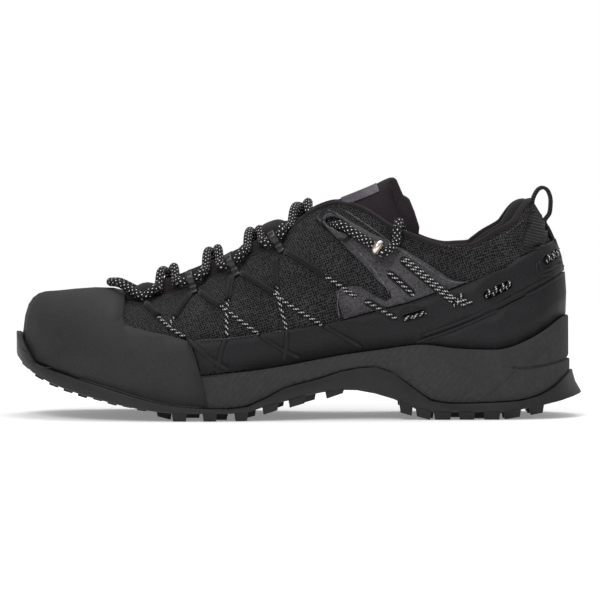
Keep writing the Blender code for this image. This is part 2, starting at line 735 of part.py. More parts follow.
def eyestay_film(parts, cutters, look, side, label):
    below = [corner for corner in PANEL_TOP if 0.57 < corner.along < 0.815]
    region = spots(FILM_EDGE) + spots(below[::-1], shift_z=SEAM) + spots(FILM_FORK)
    y_range = (-FAR, 0.0) if side == LATERAL else (0.0, FAR)
    body = overlay(f"eyestay_film_{label}", cutters, parts, region, y_range, FILM, look,
                   column_numbers(10.5, 18.0), sides=(side,))
    boolean(body, bpy.data.objects["lace_slots"], "DIFFERENCE")
    return finish(applied(body, parts), parts, look, 40)


def heel_webbing(parts, cutters, look, side, label):
    region = spots(WEBBING_STRIP)
    y_range = (-FAR, -0.006) if side == LATERAL else (0.006, FAR)
    return overlay(f"heel_webbing_{label}", cutters, parts, region, y_range, WEBBING * 0.7, look,
                   column_numbers(18.0), rows=OUTER_ROWS[3:], sides=(side,))


# Tongue

TONGUE_STEPS = 18
TONGUE_ACROSS = 8


def tongue_row(along):
    pick = [smooth(TONGUE, lambda row, name=name: getattr(row, name), along, lambda row: row.along)
            for name in ("rise", "half", "drop", "sweep")]
    return pick


def tongue_point(along, across):
    """The tongue's upper face; across runs -1 to 1 from the lateral to the medial edge."""
    rise, half, drop, sweep = tongue_row(along)
    bend = across * across
    return Vector((x_at(along) + sweep * bend * LENGTH, centre_y(along) + across * half * WIDTH,
                   z_rise(rise - drop * bend)))


def tongue_sheet(name, first, last, width, steps, across, lift=0.0):
    verts, faces = [], []
    for i in range(steps + 1):
        along = first + (last - first) * i / steps
        for j in range(across + 1):
            share = width * (2 * j / across - 1)
            spot = tongue_point(along, share)
            run = tongue_point(along + 0.004, share) - tongue_point(along - 0.004, share)
            span = tongue_point(along, share + 0.05) - tongue_point(along, share - 0.05)
            verts.append(spot + run.cross(span).normalized() * lift)
    for i in range(steps):
        for j in range(across):
            corner = i * (across + 1) + j
            faces.append((corner, corner + across + 1, corner + across + 2, corner + 1))
    mesh = bpy.data.meshes.new(name)
    mesh.from_pydata([tuple(v) for v in verts], [], faces)
    return bpy.data.objects.new(name, mesh)


def tongue(parts, fabric):
    body = tongue_sheet("tongue", TONGUE[0].along, TONGUE[-1].along, 1.0, TONGUE_STEPS, TONGUE_ACROSS)
    thicken(body, TONGUE_THICKNESS, -1)
    return finish(body, parts, fabric, 50)


def tongue_label(parts, fabric):
    body = tongue_sheet("tongue_label", 0.585, 0.648, 0.42, 4, 4, lift=GAP)
    thicken(body, FILM, 1)
    return finish(body, parts, fabric, 50)


# Pull loop

def pull_loop(parts, look):
    """A strap that stands up from the heel's edge and runs down the back."""
    last = len(COLUMNS) - 1
    edge = edge_point(last, LATERAL)
    back = [upper_point(last, LATERAL, h) for h in (0.92, 0.84, 0.76, 0.68)]
    back = [spot + Vector((WEBBING / 2 + GAP * 2, 0, 0)) for spot in back]
    top = edge + Vector((0.0, 0.0, GAP + WEBBING / 4))
    path = [top, top + Vector((0.0005, 0, 0.0045)), top + Vector((0.0030, 0, 0.0085)),
            top + Vector((0.0065, 0, 0.0088)), top + Vector((0.0100, 0, 0.0050)),
            top + Vector((0.0108, 0, -0.0010))] + back[1:]
    path = [Vector((spot.x, spot.z, 0.0)) for spot in path]
    sides = ([], [])
    for k, spot in enumerate(path):
        before, after = path[max(0, k - 1)], path[min(len(path) - 1, k + 1)]
        along = (after - before).normalized()
        across = Vector((-along.y, along.x, 0.0)) * WEBBING / 2
        sides[0].append(spot + across)
        sides[1].append(spot - across)
    curve = bpy.data.curves.new("pull_loop", "CURVE")
    curve.dimensions = "2D"
    curve.fill_mode = "BOTH"
    curve.extrude = 0.0050
    spline = curve.splines.new("POLY")
    points = sides[0] + sides[1][::-1]
    spline.points.add(len(points) - 1)
    for target, spot in zip(spline.points, points):
        target.co = (spot.x, spot.y, 0.0, 1.0)
    spline.use_cyclic_u = True
    body = bpy.data.objects.new("pull_loop", curve)
    body.rotation_euler = (math.radians(90), 0, 0)
    parts.objects.link(body)
    return finish(applied(body, parts), parts, look, 40)


# Lace, loops and rings

def round_path(points, spacing):
    """Points at an even spacing on a smooth curve through the route's points."""
    dense = []
    for k in range(len(points) - 1):
        p0, p1 = points[max(0, k - 1)], points[k]
        p2, p3 = points[k + 1], points[min(len(points) - 1, k + 2)]
        for step in range(12):
            t = step / 12
            dense.append(0.5 * ((2 * p1) + (p2 - p0) * t + (2 * p0 - 5 * p1 + 4 * p2 - p3) * t * t
                                + (3 * p1 - p0 - 3 * p2 + p3) * t ** 3))
    dense.append(points[-1])
    total = sum((b - a).length for a, b in zip(dense, dense[1:]))
    count = max(2, round(total / spacing))
    made, travelled, wanted = [dense[0]], 0.0, total / count
    for a, b in zip(dense, dense[1:]):
        length = (b - a).length
        while travelled + length >= wanted and len(made) < count:
            made.append(a.lerp(b, (wanted - travelled) / length))
            wanted += total / count
        travelled += length
    made.append(dense[-1])
    return made


def cord(name, points, diameter, parts, look):
    curve = bpy.data.curves.new(name, "CURVE")
    curve.dimensions = "3D"
    curve.bevel_depth = diameter / 2
    curve.bevel_resolution = 2
    curve.use_fill_caps = True
    spline = curve.splines.new("POLY")
    spline.points.add(len(points) - 1)
    for target, spot in zip(spline.points, points):
        target.co = (*spot, 1.0)
    curve.materials.append(look)
    body = bpy.data.objects.new(name, curve)
    parts.objects.link(body)
    return body


def side_spot(along, rise, side):
    """The column and height of the point on the upper that shows at a place of the side view."""
    t, h = 4.6 + 17 * max(0.0, min(1.0, (along - 0.2) / 0.72)), 0.7
    for _ in range(14):
        here = upper_point(t, side, h)
        miss_x, miss_z = x_at(along) - here.x, z_rise(rise) - here.z
        by_t = (upper_point(t + 0.02, side, h) - here) / 0.02
        higher = min(1.0, h + 0.01)
        by_h = (upper_point(t, side, higher) - upper_point(t, side, higher - 0.01)) / 0.01
        area = by_t.x * by_h.z - by_h.x * by_t.z
        if abs(area) < 1e-12:
            break
        t += max(-1.0, min(1.0, (miss_x * by_h.z - by_h.x * miss_z) / area))
        h += max(-0.2, min(0.2, (by_t.x * miss_z - miss_x * by_t.z) / area))
        t = max(4.4, min(len(COLUMNS) - 1.1, t))
        h = max(0.02, min(1.0, h))
    return t, h


def above_side(along, rise, side, lift):
    t, h = side_spot(along, rise, side)
    return upper_point(t, side, h) + upper_normal(t, side, min(h, 0.97)) * lift


def column_over(along, side, h):
    """The number of the column that passes over a place along the shoe at height h."""
    low, high = 4.3, len(COLUMNS) - 1.0
    for _ in range(24):
        middle = (low + high) / 2
        if upper_point(middle, side, h).x < x_at(along):
            low = middle
        else:
            high = middle
    return (low + high) / 2


LOOP_BORE = LACE / 2 + 0.0010
LOOP_WALL = 0.0014
LOOP_RADIUS = LOOP_BORE + LOOP_WALL


def loop_frame(turn, side, lift):
    """The lace's place at a turn, with the ways along the edge, out of the upper and down it."""
    h = 1.0 - turn.down
    t = column_over(turn.along, side, h)
    out = upper_normal(t, side, h)
    along = (upper_point(t + 0.3, side, h) - upper_point(t - 0.3, side, h)).normalized()
    down = out.cross(along) * side
    return upper_point(t, side, h) + out * lift, along, out, down


def slot_place(side):
    t, h = side_spot(LACE_SLOT.along, LACE_SLOT.rise, side)
    return upper_point(t, side, h), upper_normal(t, side, h)


def slot_cutter(collection):
    """An oval through the upper and the film on each side, where the lace comes out."""
    mesh = bpy.data.meshes.new("lace_slots")
    work = bmesh.new()
    for side in (LATERAL, MEDIAL):
        centre, out = slot_place(side)
        run = (above_side(0.612, 0.745, side, 0.0) - centre).normalized()
        frame = Matrix((run, out.cross(run), out)).transposed().to_4x4()
        frame.translation = centre
        oval = Matrix.Diagonal((SLOT_LENGTH, SLOT_WIDTH, SLOT_DEPTH, 1.0))
        bmesh.ops.create_cone(work, cap_ends=True, segments=12, radius1=0.5, radius2=0.5, depth=1.0,
                              matrix=frame @ oval)
    work.to_mesh(mesh)
    work.free()
    return cutter(bpy.data.objects.new("lace_slots", mesh), collection)


def lace_loop(parts, look, turn, side, name):
    """A band round the lace with a tab that lies on the upper."""
    centre, along, out, down = loop_frame(turn, side, LOOP_RADIUS + 2 * GAP)
    foot = -LOOP_RADIUS
    arc = [math.radians(a) for a in range(-30, 271, 50)]
    outer = [(LOOP_TAB, foot), (LOOP_TAB, foot + LOOP_WALL)]
    outer += [(math.cos(a) * LOOP_RADIUS, math.sin(a) * LOOP_RADIUS) for a in arc]
    inner = [(math.cos(a) * LOOP_BORE, math.sin(a) * LOOP_BORE)
             for a in (math.radians(45 * k) for k in range(8))]
    curve = bpy.data.curves.new(name, "CURVE")
    curve.dimensions = "2D"
    curve.fill_mode = "BOTH"
    curve.extrude = LOOP_WIDTH / 2
    for points in (outer, inner):
        spline = curve.splines.new("POLY")
        spline.points.add(len(points) - 1)
        for target, (x, y) in zip(spline.points, points):
            target.co = (x, y, 0.0, 1.0)
        spline.use_cyclic_u = True
    body = bpy.data.objects.new(name, curve)
    axis = down.cross(out)
    turned = Matrix((down, out, axis)).transposed().to_4x4()
    turned.translation = centre
    body.matrix_world = turned
    parts.objects.link(body)
    return finish(applied(body, parts), parts, look, 35)


def ring_frame(side):
    centre = above_side(RING_SPOT.along, RING_SPOT.rise, side, RING_BORE / 2 + RING_WIRE + FILM + 3 * GAP)
    slot = above_side(LACE_SLOT.along, LACE_SLOT.rise, side, LACE)
    return centre, (centre - slot).normalized()


def ring_eyelet(parts, look, side, name):
    centre, axis = ring_frame(side)
    bpy.ops.mesh.primitive_torus_add(major_segments=12, minor_segments=6,
                                     major_radius=(RING_BORE + RING_WIRE) / 2, minor_radius=RING_WIRE / 2)
    body = bpy.context.object
    body.name = name
    body.data.name = name
    body.location = centre
    body.rotation_mode = "QUATERNION"
    body.rotation_quaternion = axis.to_track_quat("Z", "Y")
    for holder in list(body.users_collection):
        holder.objects.unlink(body)
    return finish(body, parts, look, 180)


def over_tongue(along, across, lift):
    spot = tongue_point(along, across)
    run = tongue_point(along + 0.004, across) - tongue_point(along - 0.004, across)
    span = tongue_point(along, across + 0.05) - tongue_point(along, across - 0.05)
    return spot + run.cross(span).normalized() * lift


REST = LACE / 2 + 2 * GAP          # the lace's middle above what it lies on
SLACK = 0.0006                     # a little more, where it bends over an edge
LOW = REST + 0.0018                # where it passes the upper's edge
MEET = 0.38                        # where two strands cross, as a share of the tongue's half width
HUMP = LACE + 2 * GAP              # and one lace above another
STRAIGHT = 0.0044                  # how far the lace runs straight out of a loop
LOOP_LIFT = LOOP_RADIUS + 2 * GAP
RING_REACH = 0.0040                # how far it runs straight on each side of a ring
RING_END = 0.0008                  # half the space between the lace and its end, inside a ring
EDGE_RISE = 0.0008                 # a little extra height where it passes over an edge


def turn_run(turn, side, lift):
    """The lace's straight run through a loop, towards the heel."""
    centre, along, _, _ = loop_frame(turn, side, lift)
    return [centre - along * STRAIGHT, centre + along * STRAIGHT]


def over_edge(along, side, lift):
    """A point above the upper's top edge."""
    t = column_over(along, side, 1.0)
    return edge_point(t, side) + upper_normal(t, side, 1.0) * lift + Vector((0, 0, EDGE_RISE))


def crossing(start, end, side, lifted, early=0.0):
    """The lace over the tongue, from a turn on one side to the next turn on the other.

    The two strands lie side by side on the tongue's ridge and cross on its inner slope, where
    the lifted one passes over the other.
    """
    run = end.along - start.along
    low = REST + 2 * SLACK
    lift = low + (HUMP if lifted else 0.0)
    if side == LATERAL:
        shares = (0.26 - early, 0.32 - early / 2, 0.365, 0.50, 0.62, 0.74)
        across = (-0.50, 0.0, MEET, 0.54)
    else:
        shares = (0.26 - early, 0.38 - early, 0.50, 0.635, 0.68, 0.74)
        across = (0.48, MEET, 0.0, -0.50)
    lifts = [lift if place == MEET else low for place in across]
    middle = [over_tongue(start.along + share * run, place, height)
              for share, place, height in zip(shares[1:-1], across, lifts)]
    return ([over_edge(start.along + shares[0] * run, side, LOW)] + middle
            + [over_edge(start.along + shares[-1] * run, -side, LOW)])


def lace_half(side, lifted):
    """From the first turn on one side, crossing at each turn, to the ring."""
    turns = [FIRST_TURN] + LOOP_TURNS
    points, here = [], side
    for start, end in zip(turns, turns[1:]):
        points += crossing(start, end, here, lifted)
        here = -here
        lifted = not lifted
        points += turn_run(end, here, LOOP_LIFT)
    points += crossing(LOOP_TURNS[-1], Turn(0.566, 0.0), here, lifted, 0.10)[:-2]
    here = -here
    centre, axis = ring_frame(here)
    slot, out = slot_place(here)
    on_film = FILM + REST + SLACK
    middle = slot - out * WALL / 4
    within = -(WALL + LACE / 2 + SLACK)
    points += [over_tongue(0.532, here * 0.42, REST + SLACK), above_side(0.550, 0.890, here, within - SLACK),
               above_side(0.563, 0.858, here, within), middle,
               middle + out * LACE * 0.80 + axis * LACE * 0.85, above_side(0.618, 0.730, here, on_film),
               centre - axis * RING_REACH, centre - axis * RING_END]
    return points


def lace_bar():
    """The bar over the toe cap, from the outer first turn to the inner one."""
    reach = z_rise(0.352) + SKIN + REST + 2 * GAP
    points = []
    for side in (LATERAL, MEDIAL):
        turn = [loop_frame(FIRST_TURN, side, REST + 2 * GAP)[0]]
        up = [Vector((x_at(0.208), centre_y(0.208) + side * 0.0135, z_rise(0.318) + REST + EDGE_RISE)),
              Vector((x_at(0.187), centre_y(0.187) + side * 0.0085, reach - 0.0004)),
              Vector((x_at(0.172), centre_y(0.172) + side * 0.0030, reach))]
        points.append(turn + up)
    return points[0] + points[1][::-1]


def lace_points():
    return lace_half(LATERAL, True)[::-1] + lace_bar() + lace_half(MEDIAL, False)


def lace(parts, look):
    body = cord("lace", lace_points(), LACE, parts, look)
    body.data.bevel_resolution = 1
    return finish(applied(body, parts), parts, look, 60)


def lace_end_points(side):
    """From the ring up over the collar's edge and down inside the shoe."""
    centre, axis = ring_frame(side)
    on_film = FILM + REST + SLACK
    t = column_over(0.684, side, 1.0)
    edge, out = edge_point(t, side), upper_normal(t, side, 0.95)
    out.z = 0.0
    out.normalize()
    inside = edge - out * (WALL + REST + SLACK)
    return [centre + axis * RING_END, centre + axis * RING_REACH, above_side(0.6795, 0.690, side, on_film),
            above_side(0.683, 0.765, side, on_film), edge + out * (REST + EDGE_RISE) + Vector((0, 0, 0.0012)),
            edge - out * WALL / 2 + Vector((0.0010, 0, REST + 0.0016)),
            inside + Vector((0.0030, 0, -0.0010)), inside + Vector((0.0075, 0, -0.0090))]


def lace_end(parts, look, side, name):
    body = cord(name, round_path(lace_end_points(side), LACE * 1.1), LACE, parts, look)
    body.data.bevel_resolution = 1
    return finish(applied(body, parts), parts, look, 60)


CORD_STEP = 0.0110


def side_cords(parts, look, side, name):
    """The thin cords of one side, joined where they cross and at the loops."""
    made = None
    for number, route in enumerate(SIDE_CORDS):
        spots_in = [Vector((x_at(corner.along), z_rise(corner.rise), 0.0)) for corner in route]
        points = []
        for spot in round_path(spots_in, CORD_STEP):
            rise = (spot.y - STACK) / RISE
            points.append(above_side(along_at(spot.x), rise, side, SIDE_CORD / 2 + 2 * GAP))
        body = cord(f"{name}_{number}", points, SIDE_CORD, parts, look)
        body.data.bevel_resolution = 1
        body = applied(body, parts)
        if made is None:
            made = body
            continue
        boolean(made, body, "UNION")
        joined = applied(made, parts)
        bpy.data.objects.remove(body)
        made = joined
    made.name = name
    return finish(made, parts, look, 60)


def build():
    for obj in list(bpy.data.objects):
        bpy.data.objects.remove(obj)
    parts = bpy.data.collections.new("approach_shoe")
    cutters = bpy.data.collections.new("cutters")
    bpy.context.scene.collection.children.link(parts)
    bpy.context.scene.collection.children.link(cutters)

    outsole(parts, cutters, material("outsole_rubber", (0.030, 0.030, 0.034), 0.50))
    midsole(parts, material("midsole_foam", (0.045, 0.045, 0.045), 0.65))
    insole(parts, material("insole_foam", (0.020, 0.020, 0.022), 0.90))
    upper(parts, cutters, material("knit", (0.038, 0.036, 0.037), 0.90))
    toe_rand(parts, cutters, material("rand_rubber", (0.031, 0.029, 0.031), 0.75))
    film = material("side_film", (0.022, 0.020, 0.024), 0.80)
    counter = material("counter_film", (0.024, 0.022, 0.026), 0.80)
    grey = material("grey_film", (0.075, 0.072, 0.080), 0.60)
    webbing = material("webbing", (0.012, 0.011, 0.012), 0.85)
    for side, label in ((LATERAL, "lateral"), (MEDIAL, "medial")):
        side_panel(parts, cutters, film, side, label)
        eyestay_film(parts, cutters, grey, side, label)
        heel_webbing(parts, cutters, webbing, side, label)
    heel_counter(parts, cutters, counter)
    tongue(parts, material("tongue_fabric", (0.026, 0.021, 0.027), 0.90))
    tongue_label(parts, material("label_fabric", (0.120, 0.115, 0.120), 0.60))
    pull_loop(parts, webbing)
    lace_look = material("lace_yarn", (0.030, 0.029, 0.031), 0.80)
    steel = material("ring_steel", (0.62, 0.60, 0.58), 0.22, 1.0)
    for side, label in ((LATERAL, "lateral"), (MEDIAL, "medial")):
        for number, turn in enumerate(LOOP_TURNS, 1):
            lace_loop(parts, webbing, turn, side, f"lace_loop_{label}_{number}")
        ring_eyelet(parts, steel, side, f"ring_eyelet_{label}")
        lace_end(parts, lace_look, side, f"lace_end_{label}")
        side_cords(parts, lace_look, side, f"side_cords_{label}")
    lace(parts, lace_look)


build()
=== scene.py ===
import math
from collections import namedtuple

import bmesh
import bpy
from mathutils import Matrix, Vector
from mathutils.bvhtree import BVHTree


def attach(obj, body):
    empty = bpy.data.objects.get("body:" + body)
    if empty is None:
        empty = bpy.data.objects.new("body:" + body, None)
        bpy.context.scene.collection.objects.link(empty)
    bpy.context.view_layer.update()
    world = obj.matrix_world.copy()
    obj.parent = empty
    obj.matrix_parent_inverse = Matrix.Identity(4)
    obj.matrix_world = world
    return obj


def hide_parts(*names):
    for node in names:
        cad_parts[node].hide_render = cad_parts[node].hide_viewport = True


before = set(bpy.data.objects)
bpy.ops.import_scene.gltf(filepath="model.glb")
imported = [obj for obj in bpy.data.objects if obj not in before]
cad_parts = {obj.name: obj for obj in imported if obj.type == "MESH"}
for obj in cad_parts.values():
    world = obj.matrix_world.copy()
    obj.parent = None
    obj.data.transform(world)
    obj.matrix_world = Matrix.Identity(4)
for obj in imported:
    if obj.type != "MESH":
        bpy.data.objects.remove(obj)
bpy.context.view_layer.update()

# The photograph's scale, and the column and row of the shoe's origin, for places given by pixels
METRES_A_PIXEL = 0.000535
ORIGIN_PIXEL = 478.0
FLOOR_PIXEL = 418.9
CENTRE_FLOOR_PIXEL = 415.6     # the floor's row for what lies on the shoe's middle plane
BESIDE = 0.12                  # a distance to either side that is clear of the shoe
WITHIN = 0.03                  # and one that is inside it
BELOW = 0.02                   # a distance under it
SAME_PLACE = 0.00002           # corners nearer than this are one
HARD_CREASE = 0.75             # how much of an edge stays when its piece is made finer
SIDES = {"lateral": -1, "medial": 1}

NEAR_BLACK = (0.0075, 0.0072, 0.0078, 1.0)
RUBBER = (0.0120, 0.0115, 0.0122, 1.0)
RUBBER_PALE = (0.0235, 0.0225, 0.0230, 1.0)
KNIT_DARK = (0.0020, 0.0019, 0.0021, 1.0)
KNIT_YARN = (0.0270, 0.0258, 0.0264, 1.0)
KNIT_PALE = (0.0490, 0.0470, 0.0475, 1.0)
FABRIC = (0.0120, 0.0088, 0.0112, 1.0)
FABRIC_PALE = (0.0230, 0.0185, 0.0215, 1.0)
FILM_BLACK = (0.0058, 0.0054, 0.0066, 1.0)
FILM_PALE = (0.0125, 0.0117, 0.0135, 1.0)
GREY_FILM = (0.0740, 0.0700, 0.0770, 1.0)
GREY_FILM_DARK = (0.0230, 0.0210, 0.0250, 1.0)
FOAM = (0.0285, 0.0280, 0.0290, 1.0)
FOAM_PALE = (0.0490, 0.0480, 0.0490, 1.0)
FLECK = (0.7000, 0.6900, 0.6800, 1.0)
STEEL = (0.8200, 0.8200, 0.8400, 1.0)
STEEL_WORN = (0.6200, 0.6000, 0.6000, 1.0)
THREAD = (0.1700, 0.1600, 0.1650, 1.0)
# glue at the rand's joint with the outsole, made paler as a painted highlight
GLUE_AND_HIGHLIGHT = (0.0300, 0.0230, 0.0200, 1.0)
BRAID_DARK = (0.0035, 0.0035, 0.0040, 1.0)
BRAID_PALE = (0.0180, 0.0170, 0.0185, 1.0)
CORD_PALE = (0.0150, 0.0145, 0.0155, 1.0)
DASH = (0.6200, 0.6100, 0.6000, 1.0)


# Finishes

class Reading:
    """A number that changes over a surface: the socket of a node of a finish."""

    def __init__(self, finish, socket):
        self.finish = finish
        self.socket = socket

    def _maths(self, operation, *values):
        return self.finish.node("ShaderNodeMath", {"operation": operation}, dict(enumerate(values)))

    def __add__(self, other):
        return self._maths("ADD", self, other)

    def __radd__(self, other):
        return self._maths("ADD", other, self)

    def __sub__(self, other):
        return self._maths("SUBTRACT", self, other)

    def __rsub__(self, other):
        return self._maths("SUBTRACT", other, self)

    def __mul__(self, other):
        return self._maths("MULTIPLY", self, other)


class Finish:
    """A material that is built of nodes."""

    def __init__(self, name, **shader):
        self.material = bpy.data.materials.new(name)
        self.material.use_nodes = True
        self.tree = self.material.node_tree
        self.shader = self.tree.nodes["Principled BSDF"]
        for socket, value in shader.items():
            self.shader.inputs[socket.replace("_", " ")].default_value = value

    def node(self, kind, settings=None, values=None, output=0):
        made = self.tree.nodes.new(kind)
        for key, value in (settings or {}).items():
            setattr(made, key, value)
        for key, value in (values or {}).items():
            if isinstance(value, Reading):
                self.tree.links.new(value.socket, made.inputs[key])
            else:
                made.inputs[key].default_value = value
        return Reading(self, made.outputs[output])

    def place(self):
        return self.node("ShaderNodeTexCoord", output="Object")

    def along(self):
        return self.node("ShaderNodeUVMap", {"uv_map": "UVMap"})

    def axes(self, place):
        """The three parts of a place."""
        first = self.node("ShaderNodeSeparateXYZ", values={0: place})
        outputs = first.socket.node.outputs
        return [Reading(self, outputs[k]) for k in range(3)]

    def joined(self, x, y, z):
        return self.node("ShaderNodeCombineXYZ", values={0: x, 1: y, 2: z})

    def noise(self, place, scale, detail=3.0, roughness=0.5):
        return self.node("ShaderNodeTexNoise", values={"Vector": place, "Scale": scale, "Detail": detail,
                                                       "Roughness": roughness})

    def grains(self, place, scale, randomness=1.0):
        return self.node("ShaderNodeTexVoronoi", values={"Vector": place, "Scale": scale,
                                                         "Randomness": randomness})

    def step(self, value, low, high):
        """0 below low, 1 above high and smooth between."""
        return self.node("ShaderNodeMapRange", {"interpolation_type": "SMOOTHSTEP"},
                         {"Value": value, "From Min": low, "From Max": high})

    def wave(self, value):
        """A sine of a number, from 0 to 1."""
        return self.node("ShaderNodeMath", {"operation": "SINE"}, {0: value}) * 0.5 + 0.5

    def blend(self, share, first, second):
        return self.node("ShaderNodeMix", {"data_type": "RGBA"}, {0: share, 6: first, 7: second}, 2)

    def raised(self, height, distance):
        bump = self.node("ShaderNodeBump", values={"Height": height, "Distance": distance, "Strength": 1.0})
        self.tree.links.new(bump.socket, self.shader.inputs["Normal"])

    def feed(self, socket, value):
        self.tree.links.new(value.socket, self.shader.inputs[socket])


def rubber_finish(name, dark, pale, gloss, grain, coat=0.0):
    look = Finish(name, Specular_IOR_Level=0.34, Coat_Weight=coat, Coat_Roughness=0.34)
    place = look.place()
    worn = look.noise(place, 26.0, 5.0, 0.62)
    specks = look.noise(place, 900.0, 2.0)
    look.feed("Base Color", look.blend(look.step(worn * 0.7 + specks * 0.3, 0.38, 0.68), dark, pale))
    look.feed("Roughness", look.step(worn, 0.2, 0.8) * 0.16 + gloss)
    look.raised(specks + look.noise(place, 260.0) * 0.8, grain)
    return look.material


def foam_finish():
    """The midsole: smooth, with a fine slanted hatch on its side panel."""
    look = Finish("midsole_foam", Specular_IOR_Level=0.22)
    place = look.place()
    x, _, z = look.axes(place)
    hatch = look.wave((x + z * 1.7) * 4400.0) * look.wave((x - z * 0.9) * 1700.0)
    # The panel ends in front at one x, and behind at a slanted line, in metres
    lower_rear = look.step(x + z * 1.15, 0.0160, 0.0185)
    panel = (1 - lower_rear) * look.step(x, -0.146, -0.142)
    mottled = look.noise(place, 420.0, 4.0, 0.6)
    cloudy = look.noise(place, 24.0, 3.0)
    pale = mottled * 0.55 + cloudy * 0.25 + hatch * panel * 0.32
    look.feed("Base Color", look.blend(look.step(pale, 0.28, 0.80), FOAM, FOAM_PALE))
    look.feed("Roughness", 0.82 - hatch * panel * 0.12)
    look.raised(hatch * panel + mottled * 0.35, 0.00022)
    return look.material


def knit_finish(name, yarn, pale, hole, pitch, depth):
    """A knitted mesh: slanted rows of small holes between raised yarns."""
    look = Finish(name, Specular_IOR_Level=0.12, Sheen_Weight=0.05, Sheen_Roughness=0.5)
    place = look.place()
    x, y, z = look.axes(place)
    up = z * 0.84 - look.node("ShaderNodeMath", {"operation": "ABSOLUTE"}, {0: y}) * 0.58
    lattice = look.joined(x * 0.92 + up * 0.34, up * 0.88 - x * 0.30, 0.0)
    cells = look.grains(lattice, 1.0 / pitch, 0.34)
    dark = 1 - look.step(cells, 0.28, 0.52)
    tone = look.noise(place, 48.0, 4.0, 0.6)
    fibre = look.noise(place, 2400.0, 2.0)
    colour = look.blend(look.step(tone * 0.6 + fibre * 0.4, 0.36, 0.66), yarn, pale)
    look.feed("Base Color", look.blend(dark, colour, hole))
    look.feed("Roughness", 0.86 + dark * 0.1)
    look.raised(fibre * 0.25 + (1 - dark), depth)
    return look.material


def fabric_finish(name, dark, pale, pitch=0.0009):
    """A fine woven or brushed fabric."""
    look = Finish(name, Specular_IOR_Level=0.15, Sheen_Weight=0.10, Sheen_Roughness=0.45)
    place = look.place()
    x, y, z = look.axes(place)
    weave = look.wave((x + y * 0.8) * (math.tau / pitch)) * look.wave((z + y * 0.6) * (math.tau / pitch))
    nap = look.noise(place, 1500.0, 3.0)
    tone = look.noise(place, 30.0, 4.0, 0.6)
    look.feed("Base Color", look.blend(look.step(tone * 0.5 + nap * 0.5, 0.34, 0.68), dark, pale))
    look.feed("Roughness", 0.84 + nap * 0.1)
    look.raised(weave + nap * 0.6, 0.00012)
    return look.material


def film_finish(name, dark, pale, speckle, gloss):
    """A rubbery film with a fine speckle."""
    look = Finish(name, Specular_IOR_Level=0.24)
    place = look.place()
    grains = look.grains(place, 1500.0)
    tone = look.noise(place, 36.0, 4.0, 0.62)
    fine = look.noise(place, 1100.0, 2.0)
    share = look.step(tone * (1 - speckle) + fine * speckle, 0.36, 0.66)
    look.feed("Base Color", look.blend(share, dark, pale))
    look.feed("Roughness", gloss + tone * 0.14)
    look.raised(grains * 0.6 + fine * 0.6, 0.00010)
    return look.material


def webbing_finish(name, dark, pale, ribs):
    """Woven webbing with ribs across it."""
    look = Finish(name, Specular_IOR_Level=0.22, Sheen_Weight=0.06, Sheen_Roughness=0.4)
    place = look.place()
    x, _, z = look.axes(place)
    rib = look.wave((z + x * 0.25) * (math.tau / ribs))
    nap = look.noise(place, 1600.0, 2.0)
    look.feed("Base Color", look.blend(look.step(rib * 0.7 + nap * 0.3, 0.25, 0.75), dark, pale))
    look.feed("Roughness", 0.62 + nap * 0.2)
    look.raised(rib + nap * 0.3, 0.00030)
    return look.material


def lace_finish(name, pitch, round_count):
    """A round braid whose pale flecks wind round it."""
    look = Finish(name, Specular_IOR_Level=0.15, Sheen_Weight=0.04, Sheen_Roughness=0.4)
    run, turn, _ = look.axes(look.along())
    left = look.wave(run * (math.tau / pitch) + turn * (math.tau * round_count))
    right = look.wave(run * (math.tau / pitch) - turn * (math.tau * round_count))
    fleck = look.step(left * right, 0.70, 0.86)
    strands = look.wave(run * (math.tau / (pitch * 0.5)) + turn * (math.tau * round_count))
    nap = look.noise(look.place(), 2200.0, 2.0)
    braid = look.blend(look.step(strands * 0.6 + nap * 0.4, 0.2, 0.7), BRAID_DARK, BRAID_PALE)
    look.feed("Base Color", look.blend(fleck, braid, FLECK))
    look.feed("Roughness", 0.74 + nap * 0.16)
    look.raised(strands * 0.6 + left * right + nap * 0.3, 0.00022)
    return look.material


def cord_finish():
    """A thin black braid with pairs of short white dashes."""
    look = Finish("side_cord_braid", Specular_IOR_Level=0.15)
    run, turn, _ = look.axes(look.along())
    dash_pitch = 0.0033
    slant = look.wave(run * (math.tau / dash_pitch) + turn * (math.tau * 2))
    broken = look.wave(turn * (math.tau * 5) - run * (math.tau / dash_pitch))
    fleck = look.step(slant, 0.66, 0.80) * look.step(broken, 0.38, 0.55)
    strands = look.wave(run * (math.tau / 0.0009) + turn * (math.tau * 3))
    braid = look.blend(strands, BRAID_DARK, CORD_PALE)
    look.feed("Base Color", look.blend(fleck, braid, DASH))
    look.feed("Roughness", 0.72 + strands * 0.14)
    look.raised(strands + slant * 0.5, 0.00016)
    return look.material


def steel_finish():
    look = Finish("ring_steel", Metallic=1.0)
    place = look.place()
    scratches = look.noise(place, 700.0, 4.0)
    look.feed("Base Color", look.blend(scratches, STEEL, STEEL_WORN))
    look.feed("Roughness", 0.14 + scratches * 0.16)
    look.raised(scratches, 0.00003)
    return look.material


def floor_finish():
    look = Finish("studio_floor", Specular_IOR_Level=0.1, Emission_Color=(1.0, 1.0, 1.0, 1.0),
                  Emission_Strength=0.22)
    place = look.place()
    cloud = look.noise(place, 3.0, 2.0)
    look.feed("Base Color", look.blend(cloud, (0.86, 0.86, 0.86, 1.0), (0.90, 0.90, 0.90, 1.0)))
    look.feed("Roughness", 0.8 + cloud * 0.1)
    return look.material


